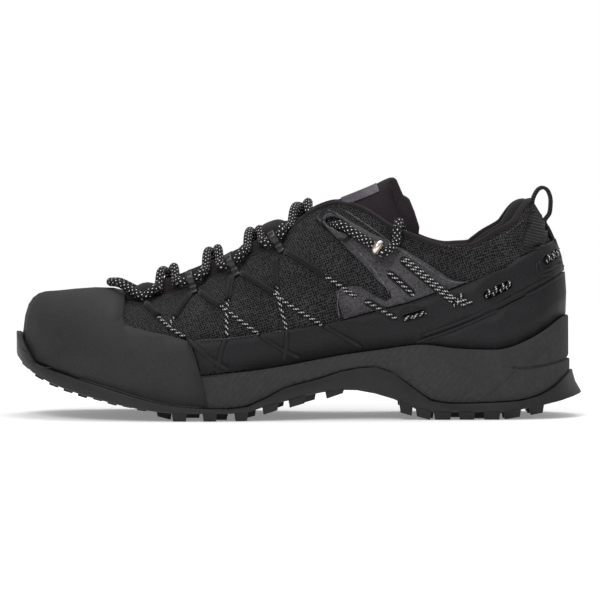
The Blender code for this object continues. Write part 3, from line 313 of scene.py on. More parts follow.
LOOKS = {
    "outsole": rubber_finish("outsole_rubber", (0.0048, 0.0048, 0.0056, 1.0), (0.0120, 0.0120, 0.0140, 1.0),
                             0.42, 0.00008, 0.10),
    "rand": rubber_finish("rand_rubber", RUBBER, RUBBER_PALE, 0.62, 0.00012),
    "foam": foam_finish(),
    "insole": fabric_finish("insole_cloth", NEAR_BLACK, FABRIC),
    "knit": knit_finish("knit_mesh", KNIT_YARN, KNIT_PALE, KNIT_DARK, 0.00118, 0.00045),
    "fabric": fabric_finish("tongue_fabric", FABRIC, FABRIC_PALE),
    "lining": fabric_finish("collar_lining", NEAR_BLACK, FABRIC),
    "film": film_finish("side_film", FILM_BLACK, FILM_PALE, 0.55, 0.52),
    "grey_film": film_finish("eyestay_film", GREY_FILM_DARK, GREY_FILM, 0.62, 0.46),
    "webbing": webbing_finish("webbing", NEAR_BLACK, (0.021, 0.020, 0.021, 1.0), 0.0016),
    "loop": rubber_finish("loop_band", (0.0070, 0.0068, 0.0072, 1.0), (0.0220, 0.0210, 0.0220, 1.0), 0.24,
                          0.00003, 0.35),
    # the label's purple-grey is partly its own colour and partly painted sheen, made paler than the fabric
    # round it
    "label": film_finish("label_cloth_and_sheen", (0.040, 0.036, 0.046, 1.0), (0.120, 0.112, 0.132, 1.0), 0.30, 0.38),
    "lace": lace_finish("lace_braid", 0.0031, 5),
    "fine_lace": cord_finish(),
    "sleeve": fabric_finish("cord_sleeve", NEAR_BLACK, (0.018, 0.017, 0.018, 1.0), 0.0006),
    "steel": steel_finish(),
    "brass": film_finish("ring_sleeve", (0.30, 0.17, 0.06, 1.0), (0.45, 0.28, 0.12, 1.0), 0.4, 0.3),
    "thread": fabric_finish("stitch_thread", FABRIC_PALE, THREAD, 0.0005),
    # the glue line's paler colour is partly glue and partly a painted highlight along the joint
    "glue_and_highlight": film_finish("glue_and_highlight_line", (0.012, 0.010, 0.010, 1.0), GLUE_AND_HIGHLIGHT, 0.5, 0.35),
    "edge": film_finish("film_edge", (0.050, 0.048, 0.052, 1.0), (0.150, 0.145, 0.150, 1.0), 0.7, 0.5),
    "ground": fabric_finish("slot_ground", (0.0015, 0.0015, 0.0018, 1.0), (0.0060, 0.0055, 0.0060, 1.0)),
    "floor": floor_finish(),
}


# Making pieces

def alone(piece):
    """Leaves one piece selected and active."""
    if bpy.context.object and bpy.context.object.mode != "OBJECT":
        bpy.ops.object.mode_set(mode="OBJECT")
    bpy.ops.object.select_all(action="DESELECT")
    piece.select_set(True)
    bpy.context.view_layer.objects.active = piece


def settled(piece, name, look):
    """Puts a finished piece at the origin with its finish, riding on the shoe."""
    piece.name = name
    piece.data.name = name
    alone(piece)
    bpy.ops.object.transform_apply(location=True, rotation=True, scale=True)
    piece.data.materials.clear()
    piece.data.materials.append(LOOKS[look])
    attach(piece, "root")
    return piece


def smooth_edges(piece, degrees):
    alone(piece)
    bpy.ops.object.shade_smooth_by_angle(angle=math.radians(degrees))


def applied(piece):
    alone(piece)
    for modifier in list(piece.modifiers):
        bpy.ops.object.modifier_apply(modifier=modifier.name)


def made_of(work, name):
    """A new piece from a mesh under work, which ends here."""
    mesh = bpy.data.meshes.new(name)
    work.to_mesh(mesh)
    work.free()
    piece = bpy.data.objects.new(name, mesh)
    bpy.context.scene.collection.objects.link(piece)
    return piece


def dressed(node, look, rounds=0, crease=38.0, angle=40.0, bevel=0.0):
    """A copy of a CAD node with its doubles merged, made finer and given its finish."""
    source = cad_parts[node]
    piece = bpy.data.objects.new(node + "_surface", source.data.copy())
    bpy.context.scene.collection.objects.link(piece)
    alone(piece)
    bpy.ops.object.mode_set(mode="EDIT")
    bpy.ops.mesh.select_all(action="SELECT")
    bpy.ops.mesh.remove_doubles(threshold=SAME_PLACE)
    if rounds:
        bpy.ops.mesh.tris_convert_to_quads(face_threshold=math.radians(60), shape_threshold=math.radians(70))
    bpy.ops.object.mode_set(mode="OBJECT")
    if rounds:
        sharp = bmesh.new()
        sharp.from_mesh(piece.data)
        creases = sharp.edges.layers.float.new("crease_edge")
        for edge in sharp.edges:
            if len(edge.link_faces) == 2 and edge.calc_face_angle() > math.radians(crease):
                edge[creases] = HARD_CREASE
        sharp.to_mesh(piece.data)
        sharp.free()
        finer = piece.modifiers.new("finer", "SUBSURF")
        finer.levels = finer.render_levels = rounds
    if bevel:
        soft = piece.modifiers.new("soft", "BEVEL")
        soft.width = bevel
        soft.segments = 2
        soft.angle_limit = math.radians(50)
    applied(piece)
    smooth_edges(piece, angle)
    settled(piece, node + "_surface", look)
    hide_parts(node)
    return piece


def smooth_route(points, between=6):
    """A rounder route through the same points."""
    made = []
    for k in range(len(points) - 1):
        before, start = points[max(0, k - 1)], points[k]
        end, after = points[k + 1], points[min(len(points) - 1, k + 2)]
        for part in range(between):
            t = part / between
            bend = 2 * before - 5 * start + 4 * end - after
            turn = 3 * start - before - 3 * end + after
            made.append(0.5 * ((2 * start) + (end - before) * t + bend * t * t + turn * t ** 3))
    made.append(points[-1])
    return made


def tubes(routes, diameter, sides=12):
    """Tubes along routes, closed at both ends, with their length and turn as their UV map."""
    work = bmesh.new()
    uv = work.loops.layers.uv.new("UVMap")
    for points in routes:
        rings, run = [], [0.0]
        way = (points[1] - points[0]).normalized()
        across = way.orthogonal().normalized()
        for k, point in enumerate(points):
            ahead = (points[min(k + 1, len(points) - 1)] - points[max(k - 1, 0)]).normalized()
            across = (way.rotation_difference(ahead) @ across).normalized()
            way = ahead
            up = way.cross(across)
            turns = (math.tau * s / sides for s in range(sides))
            rings.append([work.verts.new(point + (across * math.cos(a) + up * math.sin(a)) * diameter / 2)
                          for a in turns])
            if k:
                run.append(run[-1] + (point - points[k - 1]).length)
        for k in range(len(rings) - 1):
            for s in range(sides):
                n = (s + 1) % sides
                face = work.faces.new((rings[k][s], rings[k][n], rings[k + 1][n], rings[k + 1][s]))
                face.smooth = True
                for loop, (length, part) in zip(face.loops, ((k, s), (k, s + 1), (k + 1, s + 1), (k + 1, s))):
                    loop[uv].uv = (run[length], part / sides)
        work.faces.new(rings[0][::-1])
        work.faces.new(rings[-1])
    bmesh.ops.recalc_face_normals(work, faces=work.faces[:])
    return made_of(work, "tubes")


def band(rows, thickness, softness, segments):
    """A strip through rows of places, with a wall of some thickness and soft edges."""
    work = bmesh.new()
    made = [[work.verts.new(place) for place in row] for row in rows]
    for first, second in zip(made, made[1:]):
        for k in range(len(first) - 1):
            work.faces.new((first[k], first[k + 1], second[k + 1], second[k]))
    bmesh.ops.recalc_face_normals(work, faces=work.faces[:])
    piece = made_of(work, "band")
    wall = piece.modifiers.new("wall", "SOLIDIFY")
    wall.thickness, wall.offset = thickness, 0.0
    soft = piece.modifiers.new("soft", "BEVEL")
    soft.width, soft.segments = softness, segments
    applied(piece)
    smooth_edges(piece, 50.0)
    return piece


class Skin:
    """The outer surface of some pieces, that details lie on."""

    def __init__(self, *pieces):
        work = bmesh.new()
        for piece in pieces:
            work.from_mesh(piece.data)
        self.tree = BVHTree.FromBMesh(work)

    def spot(self, pixel, side, lift=0.0):
        """The place on the skin that shows at a pixel of the side view, and the way out of it."""
        x = (pixel[0] - ORIGIN_PIXEL) * METRES_A_PIXEL
        z = (FLOOR_PIXEL - pixel[1]) * METRES_A_PIXEL
        place, out, _, _ = self.tree.ray_cast(Vector((x, side * BESIDE, z)), Vector((0, -side, 0)))
        if place is None:
            place, out, _, _ = self.tree.find_nearest(Vector((x, side * WITHIN, z)))
        if out.y * side < 0:
            out = -out
        return place + out * lift, out

    def route(self, pixels, side, lift=0.0, spacing=4.0):
        """A route over the skin through pixels, every few pixels."""
        flat = smooth_route([Vector((px, py, 0)) for px, py in pixels], 12)
        picked, travelled = [flat[0]], 0.0
        for before, here in zip(flat, flat[1:]):
            travelled += (here - before).length
            if travelled >= spacing:
                picked.append(here)
                travelled = 0.0
        if (picked[-1] - flat[-1]).length > spacing / 2:
            picked.append(flat[-1])
        return [self.spot(point, side, lift)[0] for point in picked]


def camera_and_light():
    camera = bpy.data.objects.new("camera", bpy.data.cameras.new("camera"))
    bpy.context.scene.collection.objects.link(camera)
    target = Vector((-0.0952, 0.0, 0.0618))
    distance, rise = 2.4, math.radians(2.5)
    camera.location = target + Vector((0.0, -math.cos(rise), math.sin(rise))) * distance
    camera.rotation_euler = (math.radians(90) - rise, 0.0, 0.0)
    camera.data.lens = 269.0
    camera.data.clip_start = 0.1
    camera.data.clip_end = 30.0
    bpy.context.scene.camera = camera
    bpy.context.scene.view_settings.view_transform = "Standard"

    bpy.ops.mesh.primitive_plane_add(size=2.6, location=(0.0, 0.0, 0.0))
    floor = bpy.context.object
    floor.name = "floor"
    floor.data.materials.append(LOOKS["floor"])

    world = bpy.data.worlds.new("studio")
    bpy.context.scene.world = world
    world.use_nodes = True
    nodes, links = world.node_tree.nodes, world.node_tree.links
    nodes.clear()
    seen, light = nodes.new("ShaderNodeBackground"), nodes.new("ShaderNodeBackground")
    seen.inputs["Color"].default_value = (1.0, 1.0, 1.0, 1.0)
    light.inputs["Color"].default_value = (1.0, 1.0, 1.0, 1.0)
    light.inputs["Strength"].default_value = 0.44
    path, mix = nodes.new("ShaderNodeLightPath"), nodes.new("ShaderNodeMixShader")
    output = nodes.new("ShaderNodeOutputWorld")
    links.new(path.outputs["Is Camera Ray"], mix.inputs[0])
    links.new(light.outputs[0], mix.inputs[1])
    links.new(seen.outputs[0], mix.inputs[2])
    links.new(mix.outputs[0], output.inputs[0])

    lamps = (("key", (-0.7, -1.6, 1.7), 26.0, 1.0), ("top", (0.2, 0.3, 2.0), 22.0, 1.6),
             ("rear", (1.3, 1.2, 1.2), 5.0, 1.0))
    for name, place, energy, size in lamps:
        lamp = bpy.data.objects.new(name, bpy.data.lights.new(name, "AREA"))
        lamp.data.energy = energy
        lamp.data.size = size
        lamp.location = place
        lamp.rotation_euler = (target - Vector(place)).to_track_quat("-Z", "Y").to_euler()
        bpy.context.scene.collection.objects.link(lamp)


# Lace: the CAD route's points, in millimetres
LACE_DIAMETER = 0.0046
LACE_ROUTE = [
    (-54.7, -37.8, 91.0), (-57.3, -37.0, 92.8), (-63.1, -35.1, 96.5), (-72.9, -31.5, 102.5),
    (-75.8, -27.4, 102.8), (-78.7, -22.1, 102.2), (-81.8, -19.0, 104.0), (-89.9, -11.7, 109.2),
    (-90.9, 0.0, 114.3), (-94.2, 10.8, 108.2), (-100.2, 13.2, 102.3), (-104.9, 19.6, 101.1),
    (-105.3, 22.7, 97.9), (-112.6, 22.2, 93.1), (-114.6, 19.0, 94.6), (-116.6, 14.4, 92.2),
    (-121.4, 13.4, 98.2), (-122.9, 0.0, 96.9), (-123.6, -13.4, 89.5), (-125.8, -18.1, 88.4),
    (-128.1, -20.8, 85.1), (-135.8, -20.2, 80.8), (-137.3, -16.8, 82.0), (-137.8, -13.0, 81.9),
    (-139.1, 0.5, 89.5), (-141.5, 11.3, 83.4), (-143.9, 13.8, 79.7), (-147.1, 17.7, 77.6),
    (-148.6, 21.1, 75.2), (-156.9, 21.3, 72.3), (-159.7, 17.8, 73.1), (-162.4, 15.5, 70.1),
    (-167.0, 15.9, 76.4), (-169.8, 2.5, 76.6), (-170.8, -9.5, 67.6), (-172.4, -11.8, 68.4),
    (-178.5, -14.1, 64.4), (-185.5, -9.6, 67.7), (-191.8, -4.1, 70.9), (-196.2, 1.7, 71.3),
    (-196.2, 7.7, 71.3), (-191.8, 12.9, 70.9), (-185.5, 17.4, 67.7), (-178.3, 20.4, 64.4),
    (-172.2, 17.4, 68.5), (-168.8, 14.4, 69.0), (-165.7, 12.2, 73.0), (-162.6, 2.1, 79.5),
    (-161.2, -10.6, 71.9), (-159.9, -13.9, 73.1), (-157.2, -17.9, 72.3), (-148.9, -18.9, 75.2),
    (-147.3, -15.5, 77.6), (-145.6, -12.3, 78.5), (-144.9, 0.9, 86.9), (-142.9, 14.8, 87.0),
    (-138.7, 15.0, 80.1), (-137.1, 17.7, 82.0), (-135.6, 20.7, 80.8), (-127.9, 20.9, 85.0),
    (-125.7, 18.2, 88.4), (-122.2, 12.9, 90.8), (-119.5, 10.4, 94.4), (-116.7, 0.0, 99.8),
    (-115.2, -13.5, 93.9), (-114.6, -19.0, 94.7), (-112.7, -22.2, 93.1), (-105.3, -22.7, 98.0),
    (-104.9, -19.6, 101.1), (-100.4, -13.7, 101.7), (-98.7, 0.0, 109.5), (-96.5, 13.7, 111.9),
    (-89.9, 11.7, 109.2), (-81.8, 18.7, 104.2), (-78.8, 21.4, 102.6), (-75.8, 26.6, 102.8),
    (-72.9, 30.8, 102.1), (-63.3, 33.9, 96.0), (-57.8, 35.9, 92.1), (-55.3, 36.6, 90.3),
]
LACE_END = {
    "lateral": [(-53.4, -38.1, 90.2), (-50.8, -38.8, 88.5), (-44.9, -34.1, 93.4), (-44.0, -31.9, 99.5),
                (-43.7, -30.6, 101.1), (-42.7, -25.9, 104.4), (-40.7, -21.4, 98.9), (-36.2, -21.4, 90.9)],
    "medial": [(-54.0, 36.9, 89.4), (-51.4, 37.5, 87.6), (-45.1, 33.8, 93.1), (-44.0, 31.9, 99.4),
               (-43.7, 30.6, 101.1), (-42.7, 25.9, 104.4), (-40.6, 21.4, 98.9), (-36.1, 21.4, 90.9)],
}


def metres(points):
    return [Vector(point) / 1000.0 for point in points]


def lace():
    route = smooth_route(metres(LACE_ROUTE), 7)
    piece = settled(tubes([route], LACE_DIAMETER, 14), "lace_braid", "lace")
    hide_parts("lace")


def lace_ends():
    for label in SIDES:
        route = smooth_route(metres(LACE_END[label]), 6)
        piece = settled(tubes([route], LACE_DIAMETER, 14), f"lace_end_braid_{label}", "lace")
        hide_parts(f"lace_end_{label}")
        length = sum((b - a).length for a, b in zip(route, route[1:]))


# Soft creases of the knit, in pixels of the side view, with their depth and half width in metres
CREASE_FADE = 0.012            # nearer the middle plane than this, a crease fades out
CREASES = [
    ([(168, 303), (178, 315), (192, 326)], 0.0007, 0.0022),
    ([(207, 300), (214, 313), (229, 327)], 0.0008, 0.0026),
    ([(247, 289), (256, 302), (273, 315)], 0.0006, 0.0026),
    ([(292, 272), (301, 290), (318, 306)], 0.0006, 0.0030),
    ([(448, 262), (470, 268), (496, 260), (514, 247)], 0.0009, 0.0032),
    ([(402, 236), (420, 248), (438, 258)], 0.0006, 0.0026),
]


def creased(piece):
    """Presses shallow troughs into the knit, with a low ridge beside each."""
    for pixels, depth, width in CREASES:
        line = [Vector(((px - ORIGIN_PIXEL) * METRES_A_PIXEL, (FLOOR_PIXEL - py) * METRES_A_PIXEL))
                for px, py in pixels]
        for vertex in piece.data.vertices:
            here = Vector((vertex.co.x, vertex.co.z))
            away = 1.0
            for a, b in zip(line, line[1:]):
                share = max(0.0, min(1.0, (here - a).dot(b - a) / (b - a).length_squared))
                away = min(away, (here - a - (b - a) * share).length)
            trough = math.exp(-(away / width) ** 2)
            ridge = math.exp(-((away - 2.0 * width) / width) ** 2)
            inward = -1.0 if vertex.co.y > 0.0 else 1.0
            vertex.co.y += inward * depth * (trough - 0.3 * ridge) * min(1.0, abs(vertex.co.y) / CREASE_FADE)


camera_and_light()
lace_ends()
lace()

# Main forms
sole_pieces = [
    dressed("outsole", "outsole", bevel=0.0007, angle=32.0),
    dressed("midsole", "foam", rounds=2, crease=30.0),
    dressed("insole", "insole", rounds=1),
]
upper = dressed("upper", "knit", rounds=3)
creased(upper)
rand = dressed("toe_rand", "rand", angle=60.0)
panels = [dressed(f"side_panel_{label}", "film", angle=60.0) for label in SIDES]
counter = dressed("heel_counter", "film", angle=60.0)
films = [dressed(f"eyestay_film_{label}", "grey_film", angle=60.0) for label in SIDES]
strips = [dressed(f"heel_webbing_{label}", "webbing", angle=60.0) for label in SIDES]
tongue = dressed("tongue", "fabric", rounds=2)
label_patch = dressed("tongue_label", "label", rounds=2)
for label in SIDES:
    for number in (1, 2, 3):
        dressed(f"lace_loop_{label}_{number}", "loop", rounds=2, crease=65.0)

# What lies on the outer skins, on both sides. The places are pixels of the side view.
skin = Skin(upper, rand, counter, *panels, *films, *strips)
Detail = namedtuple("Detail", "name look slot diameter lift sides routes")
DETAILS = [
    # black sleeves over the upper ends of the thin cords
    Detail("cord_sleeves", "sleeve", "lace_yarn", 0.0030, 0.0012, 10, [
        [(148, 307), (155, 313), (161, 318)], [(192, 297), (184, 308), (176, 319)],
        [(202, 295), (212, 301), (222, 307)], [(233.5, 280), (231, 291), (229, 303)],
        [(243, 276), (259, 285), (275, 294)], [(276, 261), (276, 274), (277, 288)],
        [(287, 254), (306, 265), (325, 277)]]),
    # the cords go on under the panel as ridges
    Detail("panel_ridges", "film", "side_film", 0.0030, -0.0005, 10, [
        [(189, 338), (200, 347), (214, 358), (231, 369)], [(227, 339), (223, 348), (219, 366)],
        [(262, 335), (281, 348), (299, 357)], [(287, 331), (286.5, 344), (284, 361)],
        [(324, 326), (340, 335), (360, 347)]]),
    # pressed lines round the heel
    Detail("heel_ridges", "film", "side_film", 0.0018, -0.0003, 10, [
        [(414, 343), (446, 332), (478, 319), (510, 303), (536, 291), (563, 276)],
        [(420, 336), (446, 327), (478, 314), (510, 298), (534, 286), (563, 270)],
        [(538, 247), (547, 241), (556, 238)], [(537, 262), (540, 273), (551, 270), (563, 264)],
        [(534, 265), (537, 278), (550, 275), (564, 269)]]),
    # grey film: its pale edge
    Detail("film_edges", "edge", "grey_film", 0.0007, -0.0001, 6, [
        [(318, 221), (338, 234), (356, 251), (371, 268), (382, 283), (388, 294)],
        [(345, 213), (368, 228), (392, 246), (415, 262), (436, 276), (452, 283), (468, 283)],
        [(338, 293), (337, 304), (339, 318)]]),
]
CORD_DIAMETER = 0.0019
SIDE_CORDS = [
    [(148, 307), (171, 327), (188, 337)], [(192, 297), (175, 320), (171, 330)],
    [(202, 295), (222, 307), (260, 334)], [(233.5, 280), (229, 303), (228, 336)],
    [(243, 276), (275, 294), (286, 303), (322, 325)], [(276, 261), (277, 288), (282, 311), (287, 329)],
    [(287, 254), (325, 277), (355, 297)],
]
SLOTS = [
    # ends of the middle line, and the width, in pixels
    ((389.5, 275.5), (410.0, 293.5), 6.0), ((403.0, 262.0), (449.0, 300.0), 7.5),
    ((367.5, 303.0), (391.5, 317.0), 6.0), ((404.0, 318.0), (421.0, 313.0), 7.5),
    ((485.0, 296.0), (505.0, 286.5), 10.0), ((545.0, 262.5), (556.0, 256.5), 11.0),
]
# pale-flecked cord that shows in the slots: from, to
SLOT_CORDS = [
    ((386.5, 272.5), (412.5, 296.0)), ((400.0, 260.5), (450.0, 302.5)), ((402.5, 258.5), (453.5, 300.5)),
    ((364.0, 301.0), (395.0, 319.0)), ((402.0, 319.5), (411.0, 316.5)), ((411.0, 317.5), (424.0, 312.5)),
    ((484.0, 298.0), (487.0, 291.0)), ((491.0, 295.5), (494.0, 288.0)), ((498.0, 292.5), (501.0, 285.0)),
    ((504.0, 289.5), (507.0, 283.0)), ((544.5, 265.0), (547.0, 257.0)), ((549.0, 263.0), (551.5, 255.0)),
    ((553.5, 260.5), (556.0, 253.5)), ((448.0, 297.0), (463.0, 306.0)), ((452.0, 307.0), (460.0, 295.0)),
    ((458.0, 300.0), (470.0, 304.0)), ((343.0, 290.0), (355.0, 297.5)),
]


def stadium(start, end, width):
    """The outline of a slot, in pixels."""
    first, last = Vector((*start, 0.0)), Vector((*end, 0.0))
    way = (last - first).normalized()
    across = Vector((-way.y, way.x, 0.0))
    made = []
    for centre, turn in ((first, math.pi / 2), (last, -math.pi / 2)):
        for k in range(7):
            a = turn + math.pi * k / 6
            made.append(centre + (way * math.cos(a) + across * math.sin(a)) * width / 2)
    return made + [made[0]]


def slot_beds(side):
    """The dark ground in each slot: a flat patch that follows the film."""
    work = bmesh.new()
    for start, end, width in SLOTS:
        outline_points = stadium(start, end, width * 0.96)[:-1]
        middle = (Vector((*start, 0.0)) + Vector((*end, 0.0))) / 2
        centre = work.verts.new(skin.spot(middle, side, 0.00012)[0])
        ring = [work.verts.new(skin.spot(point, side, 0.00012)[0]) for point in outline_points]
        for a, b in zip(ring, ring[1:] + ring[:1]):
            work.faces.new((centre, a, b))
    bmesh.ops.solidify(work, geom=work.faces[:], thickness=0.0003)
    bmesh.ops.recalc_face_normals(work, faces=work.faces[:])
    return made_of(work, "slot_beds")


def stitched(points, length=0.0011, gap=0.0009):
    """Short routes of stitches along a route."""
    dense = smooth_route(points, 24)
    made, here, filled = [], [dense[0]], 0.0
    for before, point in zip(dense, dense[1:]):
        filled += (point - before).length
        if filled < length:
            here.append(point)
        elif filled > length + gap:
            if len(here) > 2:
                made.append([here[0], here[len(here) // 2], here[-1]])
            here, filled = [point], 0.0
    return made


for label, side in SIDES.items():
    for detail in DETAILS:
        routes = [skin.route(pixels, side, detail.lift) for pixels in detail.routes]
        piece = tubes(routes, detail.diameter, detail.sides)
        settled(piece, f"{detail.name}_{label}", detail.look)
    rims = [[skin.spot(point, side)[0] for point in stadium(*row)] for row in SLOTS]
    settled(tubes(rims, 0.0011, 8), f"slot_rims_{label}", "film")
    settled(slot_beds(side), f"slot_beds_{label}", "ground")
    braid = settled(tubes([skin.route(row, side, 0.0006, 3.0) for row in SIDE_CORDS], CORD_DIAMETER, 10),
                    f"side_cord_braid_{label}", "fine_lace")
    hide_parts(f"side_cords_{label}")
    cords = []
    for start, end in SLOT_CORDS:
        middle = (Vector(start) + Vector(end)) / 2
        cords.append(smooth_route([skin.spot(start, side, 0.0004)[0], skin.spot(middle, side, 0.0009)[0],
                                   skin.spot(end, side, 0.0004)[0]], 6))
    settled(tubes(cords, CORD_DIAMETER, 10), f"slot_cords_{label}", "fine_lace")
    seam = skin.route([(203, 339), (222, 338), (242, 336), (262, 333), (284, 330)], side, 0.0002, 3.0)
    below_collar = skin.route([(418, 236), (430, 243), (443, 247), (459, 249), (477, 246), (494, 240),
                               (511, 231), (522, 222)], side, 0.0001, 3.0)
    settled(tubes(stitched(seam) + stitched(below_collar), 0.0006, 6), f"stitches_{label}", "thread")


# Bindings and lining, in millimetres, for the outer side; the inner side mirrors them
COLLAR_EDGE = [
    (-68.9, -21.4, 113.4), (-62.1, -23.0, 111.0), (-55.2, -24.5, 106.7), (-48.1, -26.0, 102.0),
    (-41.3, -27.4, 99.0), (-34.1, -28.5, 96.3), (-26.1, -29.2, 93.1), (-18.0, -29.5, 91.2),
    (-10.8, -29.4, 91.4), (-4.0, -29.0, 92.0), (2.2, -28.3, 94.7), (7.9, -27.0, 98.4),
    (13.4, -25.0, 101.2), (18.0, -22.0, 104.0), (21.0, -18.2, 107.7), (23.4, -14.0, 111.0),
    (25.4, -10.4, 113.1), (27.0, -7.0, 114.3), (28.1, -3.5, 114.7),
]
HEEL_EDGE = (29.0, 0.0, 115.0)
THROAT_EDGE = [
    (-187.6, -5.0, 62.4), (-182.0, -7.5, 62.6), (-173.9, -9.5, 63.0), (-166.4, -11.0, 65.0),
    (-158.1, -12.2, 68.3), (-148.3, -13.3, 71.8), (-138.1, -14.4, 76.0), (-128.8, -15.4, 81.0),
    (-120.0, -16.0, 86.3), (-111.6, -16.5, 91.0), (-103.9, -17.0, 96.0), (-97.4, -17.4, 102.6),
    (-91.0, -18.0, 108.5), (-83.5, -18.9, 112.5), (-75.9, -20.0, 114.5), (-68.9, -21.4, 113.4),
]


def on_centre(pixel, y=0.0):
    """The place near the shoe's middle plane that shows at a pixel of the side view."""
    return Vector(((pixel[0] - ORIGIN_PIXEL) * METRES_A_PIXEL, y,
                   (CENTRE_FLOOR_PIXEL - pixel[1]) * METRES_A_PIXEL))


def mirrored(points):
    return [Vector((point.x, -point.y, point.z)) for point in points]


def collar():
    """The piping on the collar's edge and the padded lining inside it."""
    near = metres(COLLAR_EDGE)
    whole = near + metres([HEEL_EDGE]) + mirrored(near)[::-1]
    middle = Vector((-0.012, 0.0, 0.0))

    def drawn_in(point, depth, drop):
        """A point moved into the shoe and down; round the heel, towards the middle of the collar."""
        forward = middle.x - point.x if point.x > 0.0 else 0.0
        inward = Vector((forward, -point.y, 0.0))
        return point + inward.normalized() * depth - Vector((0.0, 0.0, drop))

    piping = smooth_route([drawn_in(point, 0.0010, 0.0) for point in whole], 5)
    settled(tubes([piping], 0.0031, 12), "collar_piping", "fabric")
    lining = smooth_route([drawn_in(point, 0.0052, 0.0026) for point in whole], 5)
    settled(tubes([lining], 0.0078, 16), "collar_lining", "lining")
    for label, side in SIDES.items():
        edge = metres(THROAT_EDGE)
        if side > 0:
            edge = mirrored(edge)
        inner = [point - Vector((0.0, side * 0.0010, 0.0004)) for point in edge]
        binding = tubes([smooth_route(inner, 5)], 0.0026, 10)
        settled(binding, f"throat_binding_{label}", "fabric")


def bulge(name, place, size, lean):
    """A soft bulge of the tongue's fabric, fuller towards its rear end."""
    bpy.ops.mesh.primitive_uv_sphere_add(segments=32, ring_count=16, radius=0.0100, location=place)
    piece = bpy.context.object
    bpy.ops.object.mode_set(mode="EDIT")
    bpy.ops.mesh.select_all(action="SELECT")
    bpy.ops.transform.resize(value=size)
    bpy.ops.mesh.select_all(action="DESELECT")
    shape = bmesh.from_edit_mesh(piece.data)
    for vertex in shape.verts:
        vertex.select_set(vertex.co.x > 0.0030)
    shape.select_flush(True)
    bmesh.update_edit_mesh(piece.data)
    bpy.ops.transform.translate(value=(0.0, 0.0, lean), use_proportional_edit=True, proportional_size=0.008)
    bpy.ops.object.mode_set(mode="OBJECT")
    bpy.ops.object.shade_smooth()
    settled(piece, name, "fabric")


def toe_nubs():
    """Small blocks of tread under the toe, in staggered rows."""
    block_size = (0.0052, 0.0064, 0.0028)
    front, row_step, column_step, middle = -0.2410, 0.0078, 0.0092, 0.004
    lowest = 0.0045                # lower than this, the underside has lugs of its own
    ground = Skin(sole_pieces[0]).tree
    bpy.ops.mesh.primitive_cube_add(size=1.0, location=(0.0, 0.0, 0.0))
    block = bpy.context.object
    bpy.ops.object.mode_set(mode="EDIT")
    bpy.ops.mesh.select_all(action="SELECT")
    bpy.ops.transform.resize(value=block_size)
    bpy.ops.mesh.bevel(offset=0.0006, segments=2)
    bpy.ops.object.mode_set(mode="OBJECT")
    up = Vector((0.0, 0.0, 1.0))
    corners = ((0.003, 0.0), (-0.003, 0.0), (0.0, 0.004), (0.0, -0.004))
    work = bmesh.new()
    for row in range(9):
        x = front + row_step * row
        for column in range(-4, 5):
            y = column_step * (column + 0.5 * (row % 2)) + middle
            under, down, _, _ = ground.ray_cast(Vector((x, y, -BELOW)), up)
            beside = [ground.ray_cast(Vector((x + dx, y + dy, -BELOW)), up)[0] for dx, dy in corners]
            if under is None or None in beside or under.z < lowest:
                continue
            first = len(work.verts)
            work.from_mesh(block.data)
            work.verts.ensure_lookup_table()
            turn = (-up).rotation_difference(down if down.z < 0 else -down)
            for vertex in work.verts[first:]:
                vertex.co = turn @ vertex.co + under
    bpy.data.objects.remove(block)
    piece = made_of(work, "toe_nubs")
    smooth_edges(piece, 30.0)
    settled(piece, "toe_nubs", "outsole")


def rings():
    """The polished barrel that the lace turns through, with a warm inner ring."""
    for label, place, axis in (("lateral", (-54.3, -38.4, 91.0), (0.812, -0.224, -0.539)),
                               ("medial", (-54.7, 37.2, 90.3), (0.804, 0.204, -0.559))):
        turn = Vector(axis).to_track_quat("Z", "Y").to_euler()
        for name, look, radius, wall, stretch in (("ring_barrel", "steel", 0.0035, 0.0011, 1.35),
                                                  ("ring_sleeve", "brass", 0.0027, 0.0005, 4.0)):
            bpy.ops.mesh.primitive_torus_add(major_radius=radius, minor_radius=wall, major_segments=48,
                                             minor_segments=16, location=Vector(place) / 1000.0)
            piece = bpy.context.object
            for vertex in piece.data.vertices:
                vertex.co.z *= stretch
            piece.rotation_euler = turn
            bpy.ops.object.shade_smooth()
            settled(piece, f"{name}_{label}", look)
            if name == "ring_barrel":
                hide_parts(f"ring_eyelet_{label}")


def pull_loop():
    """A folded band: up from the collar, over, and down the back of the heel."""
    pixels = [(531, 212), (532, 204), (533.5, 197), (537.5, 190), (542.5, 187.5), (547.5, 190.5),
              (550.3, 198), (550.3, 207), (549, 214)]
    route = [on_centre(pixel) for pixel in pixels]
    back = Skin(upper, counter, *strips)
    behind = 0.08
    for height in (0.104, 0.100, 0.096, 0.092):
        place = back.tree.ray_cast(Vector((behind, 0.0, height)), Vector((-1.0, 0.0, 0.0)))[0]
        route.append(place + Vector((0.0008, 0.0, 0.0)))
    widths = (-0.0055, -0.0028, 0.0, 0.0028, 0.0055)
    rows = [[point + Vector((0.0, y, 0.0)) for y in widths] for point in smooth_route(route, 4)]
    piece = band(rows, 0.0019, 0.0005, 3)
    settled(piece, "pull_loop_band", "webbing")
    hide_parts("pull_loop")


def heel_bands():
    """Ribbed bands that run from under the pull loop down to the counter."""
    front = smooth_route([Vector((px, py, 0.0)) for px, py in
                          ((534, 205), (529.5, 218), (525, 232), (521, 245), (518.5, 257))], 4)
    rear = smooth_route([Vector((px, py, 0.0)) for px, py in
                         ((541, 208), (545.5, 217), (546.5, 228), (545, 239), (542, 249))], 4)
    for label, side in SIDES.items():
        rows = [[skin.spot(a.lerp(b, share / 6), side, 0.0004)[0] for share in range(7)]
                for a, b in zip(front, rear)]
        settled(band(rows, 0.0011, 0.0003, 2), f"heel_band_{label}", "webbing")


